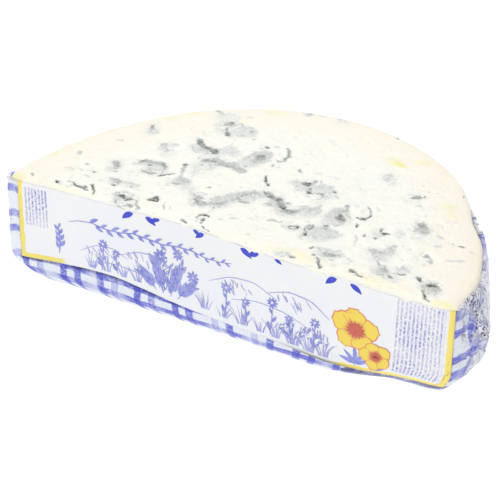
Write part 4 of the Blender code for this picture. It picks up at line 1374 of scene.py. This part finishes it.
def panel_place(along, up, lift):
    """A point on the panel's outer surface, or lifted off it."""
    return skin(angle_at(along), up, PANEL_OUT + panel_relief(along, up) + lift)


# %% The panel's finish
PANEL_WHITE, PANEL_LILAC = seen(238, 239, 240), seen(234, 236, 243)
FRAME_YELLOW, FRAME_SHADE = seen(248, 227, 116), seen(232, 218, 108)
# the last two colours are painted shade: in the creases at the panel's ends, and as the shadow under its
# loose edge
RULE_INK, PUCKER_SHADE, SLIT_SHADE = seen(128, 132, 202), seen(150, 120, 50), seen(96, 98, 66)
RULE_PITCH = 1.6
PANEL_BUMP, PANEL_BUMP_DEPTH = 0.2, 0.25


def panel_finish():
    """Tinted paper, then its wash, the uneven ruled lines, the yellow frame, painted shade in the creases
    and the painted shadow under the loose edge.
    """
    finish, tree, shader = new_finish("printed_panel", 0.42)
    along, _, places = print_places(tree)
    wash, ruled, frame_at, pucker, slit = (named_value(tree, name) for name in
                                           ("wash", "ruled", "frame", "pucker", "slit"))
    tint = spots(tree, places, 0.05)
    colour = blend(step(tint, 0.35, 0.75), PANEL_WHITE, PANEL_LILAC)
    colour = blend(wash * 0.8, colour, PANEL_LILAC)
    drawn_out = put(tree, "Mapping", {0: places, 3: (1.5, 0.8, 1.0)})
    uneven = step(spots(tree, drawn_out, 0.9, 4.0, 0.8), 0.42, 0.56)
    line = 1.0 - step(along.math("PINGPONG", RULE_PITCH / 2), 0.2, 0.7)
    rule = line * uneven * step(ruled, -0.2, 0.2) * (step(tint, 0.35, 0.6) * 0.5 + 0.6)
    colour = blend(rule, colour, RULE_INK)
    yellow = blend(step(tint, 0.3, 0.7), FRAME_YELLOW, FRAME_SHADE)
    yellow = blend(step(along, -80.0, 0.0), yellow, FRAME_YELLOW)
    colour = blend(step(frame_at, -0.16, 0.16), colour, yellow)
    # painted shade in the valleys of the creases
    colour = blend(pucker * 0.7, colour, PUCKER_SHADE)
    # painted shadow under the loose lower edge
    colour_with(shader, blend(slit, colour, SLIT_SHADE))
    bump_with(shader, spots(tree, places, 0.5, 4.0, 0.6), PANEL_BUMP, PANEL_BUMP_DEPTH)
    return finish


PANEL_PAPER = panel_finish()

# %% What the panel's finish reads at each point
FRAME_LEFT, FRAME_RIGHT = -92.6, 96.9
FRAME_FOOT_LEFT, FRAME_FOOT_RIGHT, FRAME_TAPER = (-74, 2.3), (52, 1.6), 13    # ends at, height
RULED_RIGHT, RULED_LEFT = (76.5, 95.8, 15.5, 49.5), (-92, -81, 30, 48)    # left, right, low, high
WASH_START, WASH_END, WASH_UP = (-70, -20), (30, 58), (24, 40)
SLIT, SLIT_UP = (46, 15, 0.9), (0.3, 1.5)
CREASED_RIGHT, CREASED_UP, CREASED_LEFT = (94, 97.5), (20, 30), (-94.5, -92.5)


def inside_box(x, y, box):
    """Distance inside a box's nearest side, and below 0 outside it."""
    left, right, low, high = box
    return np.minimum(np.minimum(x - left, right - x), np.minimum(y - low, high - y))


def panel_values(along, up):
    """Frame, ruled bands, wash behind the frieze, the painted shadow under the loose edge, and painted
    shade in the creases at the corners.
    """
    above = up - panel_foot(along)
    wobble = 0.5 * rough_noise(along, up, 2.4, 9, 2) + 0.55 * rough_noise(along, up, 5.2, 2.6, 2)
    frame_at = np.maximum(FRAME_LEFT - along, along - FRAME_RIGHT) + wobble
    for (end, high), side in ((FRAME_FOOT_LEFT, -1), (FRAME_FOOT_RIGHT, 1)):
        bar = np.minimum(high - above + wobble, side * (along - end) / FRAME_TAPER)
        frame_at = np.maximum(frame_at, bar)
    ruled = np.maximum(inside_box(along, up, RULED_RIGHT), inside_box(along, up, RULED_LEFT))
    wash = between(along, WASH_START, WASH_END) * (1 - rise(up, WASH_UP))
    # painted shadow under the loose lower edge, fading upwards
    slit = swelling(along, SLIT) * (1 - rise(above, SLIT_UP))
    right = rise(along, CREASED_RIGHT) * (1 - rise(up, CREASED_UP))
    left = 0.5 * (1 - rise(along, CREASED_LEFT))
    # painted shade in the valleys of the creases at both ends
    pucker = fold_lines(along, up, (3.4, 2.6), 9, 0, 0.14) * right
    pucker = pucker + fold_lines(along, up, (4, 3), 10, 0, 0.1) * left
    return {"frame": frame_at, "ruled": ruled, "wash": wash, "slit": slit, "pucker": pucker}


# %% Put the panel together
def make_panel():
    """A grid from the wavy foot up to the straight top, doubled behind and closed at its edges."""
    share = np.linspace(0, 1, PANEL_ROWS)[:, None]
    wavy = 0.5 * rough_noise(0, 30 * share, 4.4, 9, 3)
    along = PANEL_LEFT + wavy + (PANEL_RIGHT - PANEL_LEFT - wavy) * np.linspace(0, 1, PANEL_COLUMNS)
    foot = panel_foot(along) + 0.25 * rough_noise(along, 0, 8.8, 6, 3)
    up = foot + (PANEL_TOP - foot) * share
    along, up = along.ravel(), up.ravel()
    points = np.concatenate([panel_place(along, up, 0), panel_place(along, up, -PANEL_THIN)])
    cells = sheet_cells(PANEL_ROWS, PANEL_COLUMNS)
    strip = np.stack([np.tile(along, 2), np.tile(up, 2)], -1)
    values = {key: np.tile(value, 2) for key, value in panel_values(along, up).items()}
    made = new_piece("printed_panel", points, [cells], PANEL_PAPER, ["label"], strip[cells.ravel()], values)


make_panel()

# %% [markdown]
# ## The meadow frieze
# The frieze is line work: grasses, leaves, flowers and low hills in blue ink. It could be a node
# pattern, but drawn lines want free paths. So each line is a thin closed ribbon that is carried
# along a path of thirteen points, broad in its middle and fine at its ends, and laid on the panel. A
# leaf or a petal is only a short, broad ribbon. All lines of one ink are one mesh.

# %% Paths on the panel, and how broad a ribbon is along one
PATH_POINTS = 13
SHARES = np.linspace(0, 1, PATH_POINTS)


def curved(x, up, heading, length, curl):
    """Paths that start at a place with a heading (degrees) and turn evenly by curl on their way."""
    x, up, heading, length, curl = np.broadcast_arrays(
        *(np.atleast_1d(np.asarray(v, float)) for v in (x, up, heading, length, curl)))
    turn = np.radians(heading[:, None] + curl[:, None] * (SHARES[:-1] + SHARES[1:]) / 2)
    steps = np.stack([np.cos(turn), np.sin(turn)], -1) * (length / (PATH_POINTS - 1))[:, None, None]
    start = np.stack([x, up], -1)[:, None, :]
    return np.concatenate([start, start + np.cumsum(steps, 1)], 1)


def through(*corners):
    """One smooth path near a few corners: straight runs, rounded off by a running mean."""
    corners = np.asarray(corners, float).reshape(-1, 2)
    at = np.linspace(0, 1, len(corners))
    fine = np.linspace(0, 1, 61)
    pulled = np.stack([np.interp(fine, at, corners[:, k]) for k in (0, 1)], -1)
    window = np.ones(9) / 9    # the mean of nine neighbours rounds the corners off
    padded = np.concatenate([np.repeat(pulled[:1], 4, 0), pulled, np.repeat(pulled[-1:], 4, 0)])
    smooth = np.stack([np.convolve(padded[:, k], window, "valid") for k in (0, 1)], -1)
    return np.stack([np.interp(SHARES, fine, smooth[:, k]) for k in (0, 1)], -1)[None]


def shaped(count, width, form="line"):
    """Half widths along each path: a line swells a little, a leaf or petal a lot, and ends fine."""
    width = np.broadcast_to(np.asarray(width, float), count)[:, None] / 2
    profile = {"line": 0.35 + 0.65 * np.sin(np.pi * SHARES), "blade": 1.02 - SHARES,
               "leaf": 0.06 + 0.94 * np.sin(np.pi * SHARES**0.8),
               "petal": 0.16 + 0.84 * np.sin(np.pi * np.clip(SHARES, 0, 0.93) ** 1.5)}[form]
    return width * profile


# %% Ribbons along the paths
INK_LOW, INK_HIGH = -0.04, 0.05       # how far a ribbon's two faces lie off the panel
INK_APART, GOLDEN_SHARE = 0.1, 0.618    # spread lines differ in height by up to this, in steps of that


def ribbon_piece(name, strokes, finish, lift=0.0, spread=0.0):
    """One mesh of closed ribbons: four rails along each path, and a cap at each end. All are lifted
    off the panel, and where they are spread, crossing ones never lie at one height."""
    paths = np.concatenate([path for path, _ in strokes])
    widths = np.concatenate([width for _, width in strokes])
    along = np.gradient(paths, axis=1)
    sideways = np.stack([-along[..., 1], along[..., 0]], -1)
    sideways = sideways / np.maximum(np.linalg.norm(sideways, axis=-1, keepdims=True), 1e-6)
    left, right = paths + sideways * widths[..., None], paths - sideways * widths[..., None]
    rails = np.stack([right, left, left, right], 2)
    lifts = np.broadcast_to([INK_LOW, INK_LOW, INK_HIGH, INK_HIGH], rails.shape[:3])
    apart = INK_APART * (GOLDEN_SHARE * np.arange(len(paths)) % 1)
    lifts = lifts + np.reshape(lift + apart * spread, (-1, 1, 1))
    up = np.minimum(rails[..., 1], PANEL_TOP - 0.1)
    points = panel_place(rails[..., 0].ravel(), up.ravel(), lifts.ravel())
    tube = grid_cells(PATH_POINTS, 4, True)
    last = 4 * (PATH_POINTS - 1)
    one = np.concatenate([tube, [[3, 2, 1, 0]], [[last, last + 1, last + 2, last + 3]]])
    faces = (one[None] + 4 * PATH_POINTS * np.arange(len(paths))[:, None, None]).reshape(-1, 4)
    share = np.broadcast_to(SHARES[None, :, None], rails.shape[:3]).ravel()
    made = new_piece(name, points, [faces], finish, values={"share": share}, flat=True)


# %% Inks
def ink(name, colour, deep):
    """Printing ink: a colour that goes over into a deeper one here and there, by fine noise."""
    finish, tree, shader = new_finish(name, 0.45)
    places = put(tree, "TexCoord", out=3)
    colour_with(shader, blend(step(dust(tree, places, 1.6, 3.0), 0.35, 0.7), colour, deep))
    return finish


PALE_INK = ink("pale_blue_ink", seen(176, 180, 226), seen(150, 155, 218))
BLUE_INK = ink("blue_ink", seen(154, 159, 225), seen(118, 125, 211))
DEEP_INK = ink("deep_blue_ink", seen(44, 58, 196), seen(62, 76, 206))
ORANGE_INK = ink("orange_ink", seen(222, 134, 96), seen(230, 150, 92))
RED_INK = ink("orange_red_ink", seen(208, 104, 84), seen(198, 90, 74))

# %% Plants of the frieze
draw = np.random.default_rng(47)


def tuft(x, up, height, blades, spread):
    """A tuft of grass: blades that start close together and bend outwards."""
    lean = draw.uniform(-1, 1, blades)
    path = curved(x + lean * spread, up, 90 - 22 * lean, height * draw.uniform(0.55, 1, blades), -38 * lean)
    return path, shaped(blades, draw.uniform(0.35, 0.6, blades), "blade")


def sprig(path, leaves, size, width, turn=48):
    """Leaves in pairs along a path, smaller towards its tip."""
    at = np.linspace(0.16, 0.96, leaves)
    x, up = np.interp(at, SHARES, path[0, :, 0]), np.interp(at, SHARES, path[0, :, 1])
    away = np.gradient(path[0], axis=0)
    heading = np.degrees(np.arctan2(np.interp(at, SHARES, away[:, 1]), np.interp(at, SHARES, away[:, 0])))
    side = np.where(np.arange(leaves) % 2 == 0, 1, -1)
    length = size * (1.1 - 0.5 * at) * draw.uniform(0.8, 1.15, leaves)
    blades = curved(x, up, heading + side * turn, length, -side * 30)
    return blades, shaped(leaves, width * length, "leaf")


def daisy(x, up, radius, petals, turn=0.0):
    """A flower seen from the front: narrow petals on a ring."""
    heading = turn + np.arange(petals) * 360 / petals + draw.uniform(-6, 6, petals)
    start = 0.28 * radius
    path = curved(x + start * np.cos(np.radians(heading)), up + start * np.sin(np.radians(heading)),
                  heading, radius * 0.75, 10)
    return path, shaped(petals, radius * 0.36, "leaf")


def ring(x, up, radius, width):
    """A small drawn ring, closed by running once round."""
    path = curved(x + radius, up, 90, 2 * np.pi * radius, 360)
    return path, np.full((1, PATH_POINTS), width / 2)


def hatch(x, up, reach_x, reach_up, count, length, heading, spread=14):
    """Loose hatching: short strokes scattered over an oval patch, all leaning much the same way."""
    turn, far = draw.uniform(0, 2 * np.pi, count), np.sqrt(draw.uniform(0, 1, count))
    path = curved(x + reach_x * far * np.cos(turn), up + reach_up * far * np.sin(turn),
                  heading + draw.uniform(-spread, spread, count), length * draw.uniform(0.5, 1.2, count),
                  draw.uniform(-30, 30, count))
    return path, shaped(count, draw.uniform(0.22, 0.4, count))


# %% What grows in the frieze, each as its place along the front, its place up it, and its form
HILLS = ((-66, 24, -58, 29, -50, 30, -42, 27), (-46, 28, -38, 32, -29, 33, -20, 29),
         (-4, 30, 6, 35, 17, 36, 28, 31), (22, 33, 32, 37, 42, 36, 50, 30),
         (-62, 20, -48, 23, -34, 22, -22, 19), (6, 25, 18, 28, 30, 27, 44, 22))
HILL_SHADE = ((-56, 27, -60), (-36, 30, -58), (8, 32, -62), (34, 34, -58))    # lean of its strokes
VINE = (-72, 36, -62, 40, -50, 37, -40, 40.5, -28, 38, -16, 41, -4, 38.5, 8, 41)
CLUMP_STEMS = ((-25, 17, 100, 16, 18), (-21.5, 16.5, 82, 17, -22), (-18, 16.5, 62, 12, -30),
               (-28.5, 17.5, 122, 10, 34))                       # heading, length, curl
CLUMP_FLOWERS = ((-27, 33.5, 3.4, 9), (-11, 29, 2.9, 8), (-19, 36.5, 2.5, 8))    # radius, petals
TUFTS = ((-60, 17.5, 7, 9, 1.6), (-52, 18, 9, 11, 2), (-44, 18, 6, 8, 1.6), (-37, 18, 8, 10, 2),
         (-5, 16.5, 9, 11, 2), (3, 15.5, 7, 9, 2), (12, 15, 10, 12, 2.2), (20, 14.5, 7, 9, 2),
         (27, 14, 9, 12, 2.2), (34, 13.5, 11, 13, 2.4), (41, 13, 8, 11, 2), (47, 13, 9, 10, 2))
FLOWERS = ((-55, 18, 12, 8, 2.3, 8), (-47, 18.5, 9, -10, 1.9, 7), (4, 16, 13, 6, 2.5, 8),
           (14, 15.5, 10, -8, 2.0, 7), (24, 15, 14, 9, 2.4, 9), (33, 14, 10, -7, 2.0, 7),
           (43, 14, 12, 5, 2.3, 8))                              # height, lean, radius, petals


# %% Lay out the frieze: low hills, a vine, a dense clump, grasses, flowers and a small corner plant
def frieze():
    """The lines of the pale ink and of the blue ink. What is drawn by chance comes in this order."""
    pale = [(through(*hill), shaped(1, 0.42)) for hill in HILLS]
    pale += [hatch(x, up, 7, 2.5, 16, 3.4, heading) for x, up, heading in HILL_SHADE]
    vine = through(*VINE)
    blue = [(vine, shaped(1, 0.5)), sprig(vine, 26, 4.2, 0.34)]
    for x, up, heading, length, curl in CLUMP_STEMS:
        stem = curved(x, up, heading, length, curl)
        pale.append(sprig(stem, 13, 5.6, 0.36, 42))
        blue += [(stem, shaped(1, 0.5)), sprig(stem, 13, 4.8, 0.14, 42)]
    blue += [hatch(-23, 20.5, 5, 3, 50, 3.0, 84, 26), hatch(-23, 27, 5, 4, 40, 2.4, 62, 16)]
    for x, up, radius, petal_count in CLUMP_FLOWERS:
        blue += [daisy(x, up, radius, petal_count), ring(x, up, 0.22 * radius, 0.4)]
    pale += [tuft(*shape) for shape in TUFTS]
    for x, up, high, lean, radius, petal_count in FLOWERS:
        stem = curved(x, up, 90 - lean, high, lean)
        tip_x, tip_up = stem[0, -1]
        blue += [(stem, shaped(1, 0.4)), sprig(stem, 4, 3.6, 0.36, 44),
                 daisy(tip_x, tip_up + 0.6, radius, petal_count)]
    corner = curved(-76, 20, 78, 13, 24)
    blue += [hatch(38, 18.5, 12, 4, 70, 2.8, 60, 40), (corner, shaped(1, 0.5)),
             sprig(corner, 8, 4.6, 0.4)]
    return pale, blue


pale_lines, blue_lines = frieze()
ribbon_piece("meadow_pale", pale_lines, PALE_INK, spread=1.0)
ribbon_piece("meadow_blue", blue_lines, BLUE_INK, 0.1, spread=1.0)

# %% [markdown]
# ## Leaves and buttercups
# Two things on the panel are strong colour. Along its upper edge dark blue leaves show under the
# lip of paste, and at the right two buttercups of unlike size stand in the grass. A petal could be
# cut from a plane, but it is a short, broad ribbon too, and each lies a little over the one before.

# %% Garland under the lip
GARLAND = ((-41, 48.9, 6, 200), (-35.5, 48.7, 5.5, -14), (-29, 49.2, 4.5, 188), (-13, 49.3, 4, -10),
           (-7.5, 48.9, 5, 196), (10.5, 48.8, 6, -12), (19, 49.1, 5.5, 190), (26, 49.4, 3.6, -8),
           (53, 49.0, 6, 198), (58.5, 48.7, 5.5, -16))    # across, up, length, heading


def garland():
    """Single leaves that lie along the upper edge and droop from it, to the left or to the right."""
    x, up, length, heading = np.array(GARLAND).T
    leaves = curved(x, up, heading, length, np.where(heading > 90, 34, -34))
    return [(leaves, shaped(len(x), 0.44 * length, "leaf"))]


ribbon_piece("garland", garland(), DEEP_INK)

# %% Buttercups
BUTTERCUPS = ((60.5, 29.5, 9.4, 14), (69.2, 20.0, 6.4, 40))   # across, up, radius, turn
PETALS, ANTHERS = 5, 14
PETAL_TURNS, PETAL_LENGTHS = np.array([0, 5, -4, 3, -5]), np.array([1, 0.94, 1.03, 0.97, 0.92])
LEAF_HEADINGS = np.array([20, 52, 84, 128, 162])
PETAL_FOOT, PETAL_YELLOW = seen(218, 118, 96), seen(240, 213, 84)


def petals(radius_share, width_share):
    """Five broad petals for each flower, a little uneven."""
    strokes = []
    for x, up, radius, turn in BUTTERCUPS:
        heading = turn + np.arange(PETALS) * 360 / PETALS + PETAL_TURNS
        path = curved(x, up, heading, radius * radius_share * PETAL_LENGTHS, 6)
        strokes.append((path, shaped(PETALS, radius * width_share, "petal")))
    return strokes


def hearts():
    """The small orange-red middle: a ring of short anthers round a dot."""
    strokes = []
    for x, up, radius, turn in BUTTERCUPS:
        heading = turn + np.arange(ANTHERS) * 360 / ANTHERS
        anthers = curved(x, up, heading, radius * 0.42, 8)
        dot = curved(x - 0.13 * radius, up, 0, 0.26 * radius, 0)
        strokes.append((anthers, shaped(ANTHERS, radius * 0.12, "leaf")))
        strokes.append((dot, shaped(1, 0.3 * radius, "leaf")))
    return strokes


def buttercup_leaves():
    """A stem under each flower, and a fan of leaves at the foot of each."""
    few = LEAF_HEADINGS[:3] - 8
    return [(curved(60.8, 13.2, 96, 12, -10), shaped(1, 0.7)),
            (curved(68, 12.6, 88, 5, 6), shaped(1, 0.6)),
            (curved(61, 14, LEAF_HEADINGS, 7, 12), shaped(len(LEAF_HEADINGS), 1.7, "leaf")),
            (curved(68.6, 13.4, few, 5, 12), shaped(len(few), 1.3, "leaf"))]


def petal_finish():
    """Yellow that turns orange-red towards the petal's foot."""
    finish, tree, shader = new_finish("buttercup_yellow", 0.4)
    colour_with(shader, blend(step(named_value(tree, "share"), 0.2, 0.56), PETAL_FOOT, PETAL_YELLOW))
    return finish


ribbon_piece("buttercup_leaves", buttercup_leaves(), BLUE_INK, 0.01)
petal_lifts = 0.02 * np.arange(len(BUTTERCUPS) * PETALS)     # each petal lies over the one before
ribbon_piece("buttercup_edges", petals(1.05, 1.02), ORANGE_INK, 0.03 + petal_lifts)
ribbon_piece("buttercup_petals", petals(1.0, 0.92), petal_finish(), 0.04 + petal_lifts)
ribbon_piece("buttercup_hearts", hearts(), RED_INK, 0.05 + petal_lifts[-1])

# %% [markdown]
# ## Light, table and camera
# The photo is a bright one: white all round, soft light from everywhere and a little more from
# above and behind, so that the far walls of the hollows turn darker. It could be lit by lamps alone,
# but then the foil would mirror them. So a plain white world gives the even light, a lamp above and
# behind gives the direction, a weaker and wider one lifts the front, and the white table sends light
# up again.

# %% Table
TABLE_HALF, TABLE_Z = 3.0, -0.0003    # in metres
TABLE_GREY, TABLE_GREY_PALER = seen(140, 140, 140), seen(144, 144, 144)
TABLE_GLOW = 0.95


def table():
    """A large flat square that glows almost white and takes a faint shadow."""
    finish, tree, shader = new_finish("white_table", 0.9)
    grain = dust(tree, put(tree, "TexCoord", out=3), 4.0)
    colour_with(shader, blend(grain, TABLE_GREY, TABLE_GREY_PALER))
    shader.inputs["Emission Color"].default_value = (1, 1, 1, 1)
    shader.inputs["Emission Strength"].default_value = TABLE_GLOW
    shader.inputs["Specular IOR Level"].default_value = 0.1
    corners = [(x * TABLE_HALF, y * TABLE_HALF, TABLE_Z) for x, y in ((-1, -1), (1, -1), (1, 1), (-1, 1))]
    mesh = bpy.data.meshes.new("table")
    mesh.from_pydata(corners, [], [(0, 1, 2, 3)])
    mesh.materials.append(finish)
    made = bpy.data.objects.new("table", mesh)
    bpy.context.scene.collection.objects.link(made)
    made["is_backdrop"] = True
    print(f"table: {2 * TABLE_HALF:.0f} m square")


table()

# %% Light
LAMP_PLACE, LAMP_SIZE, LAMP_POWER = Vector((-0.25, 0.45, 1.0)), 0.5, 6.7
FILL_PLACE, FILL_SIZE, FILL_POWER = Vector((-0.1, -1.05, 0.4)), 1.0, 5.4
WORLD_LIGHT = 0.62


def light():
    """The white world and two square lamps that face the middle of the base."""
    world = bpy.data.worlds.new("white_room")
    world.use_nodes = True
    world.node_tree.nodes["Background"].inputs[0].default_value = (1, 1, 1, 1)
    world.node_tree.nodes["Background"].inputs[1].default_value = WORLD_LIGHT
    bpy.context.scene.world = world
    for name, place, size, power in (("soft_lamp", LAMP_PLACE, LAMP_SIZE, LAMP_POWER),
                                     ("front_fill", FILL_PLACE, FILL_SIZE, FILL_POWER)):
        lamp = bpy.data.lights.new(name, "AREA")
        lamp.shape, lamp.size, lamp.energy = "SQUARE", size, power
        holder = bpy.data.objects.new(name, lamp)
        holder.location = place
        holder.rotation_euler = (-place).to_track_quat("-Z", "Y").to_euler()
        bpy.context.scene.collection.objects.link(holder)
        print(f"{name}: {place.length:.2f} m away, {size:.1f} m wide, {power} W")
    bpy.context.scene.view_settings.view_transform = "Standard"


light()

# %% Camera
VIEW_AZIMUTH, VIEW_ELEVATION, VIEW_DISTANCE = 29.45, 34.16, 0.631
VIEW_TARGET = Vector((0, -0.0155, 0))
FRAME_PIXELS, FOCAL_PIXELS = 500, 1485
CENTRE_PIXEL_X, CENTRE_PIXEL_Y = 267.8, 295.7      # where the lens axis meets the photo
SENSOR = 36.0


def camera():
    """Looks at its target from an azimuth, an elevation and a distance. The lens and its shift come
    from the photo's focal length and middle in pixels."""
    data = bpy.data.cameras.new("camera")
    data.sensor_width = SENSOR
    data.lens = FOCAL_PIXELS * SENSOR / FRAME_PIXELS
    data.shift_x = (FRAME_PIXELS / 2 - CENTRE_PIXEL_X) / FRAME_PIXELS
    data.shift_y = (CENTRE_PIXEL_Y - FRAME_PIXELS / 2) / FRAME_PIXELS
    holder = bpy.data.objects.new("camera", data)
    turn, lift = np.radians(VIEW_AZIMUTH), np.radians(VIEW_ELEVATION)
    back = Vector((np.sin(turn) * np.cos(lift), -np.cos(turn) * np.cos(lift), np.sin(lift)))
    holder.location = VIEW_TARGET + back * VIEW_DISTANCE
    holder.rotation_euler = (-back).to_track_quat("-Z", "Y").to_euler()
    bpy.context.scene.collection.objects.link(holder)
    bpy.context.scene.camera = holder
    print(f"camera: {data.lens:.0f} mm lens, {VIEW_DISTANCE} m from its target")


camera()

# %% [markdown]
# ## Size
# The surfaces keep the size of the solids, and both boxes are printed side by side. The
# surfaces must stay the size of the solids.

# %% Print the size of the surfaces beside that of the solids, and finish
seen_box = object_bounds()
for axis, letter in enumerate("xyz"):
    cad, made = (box[1][axis] - box[0][axis] for box in (cad_box, seen_box))
    print(f"{letter}: solids {cad / MM:.2f} mm, surfaces {made / MM:.2f} mm")
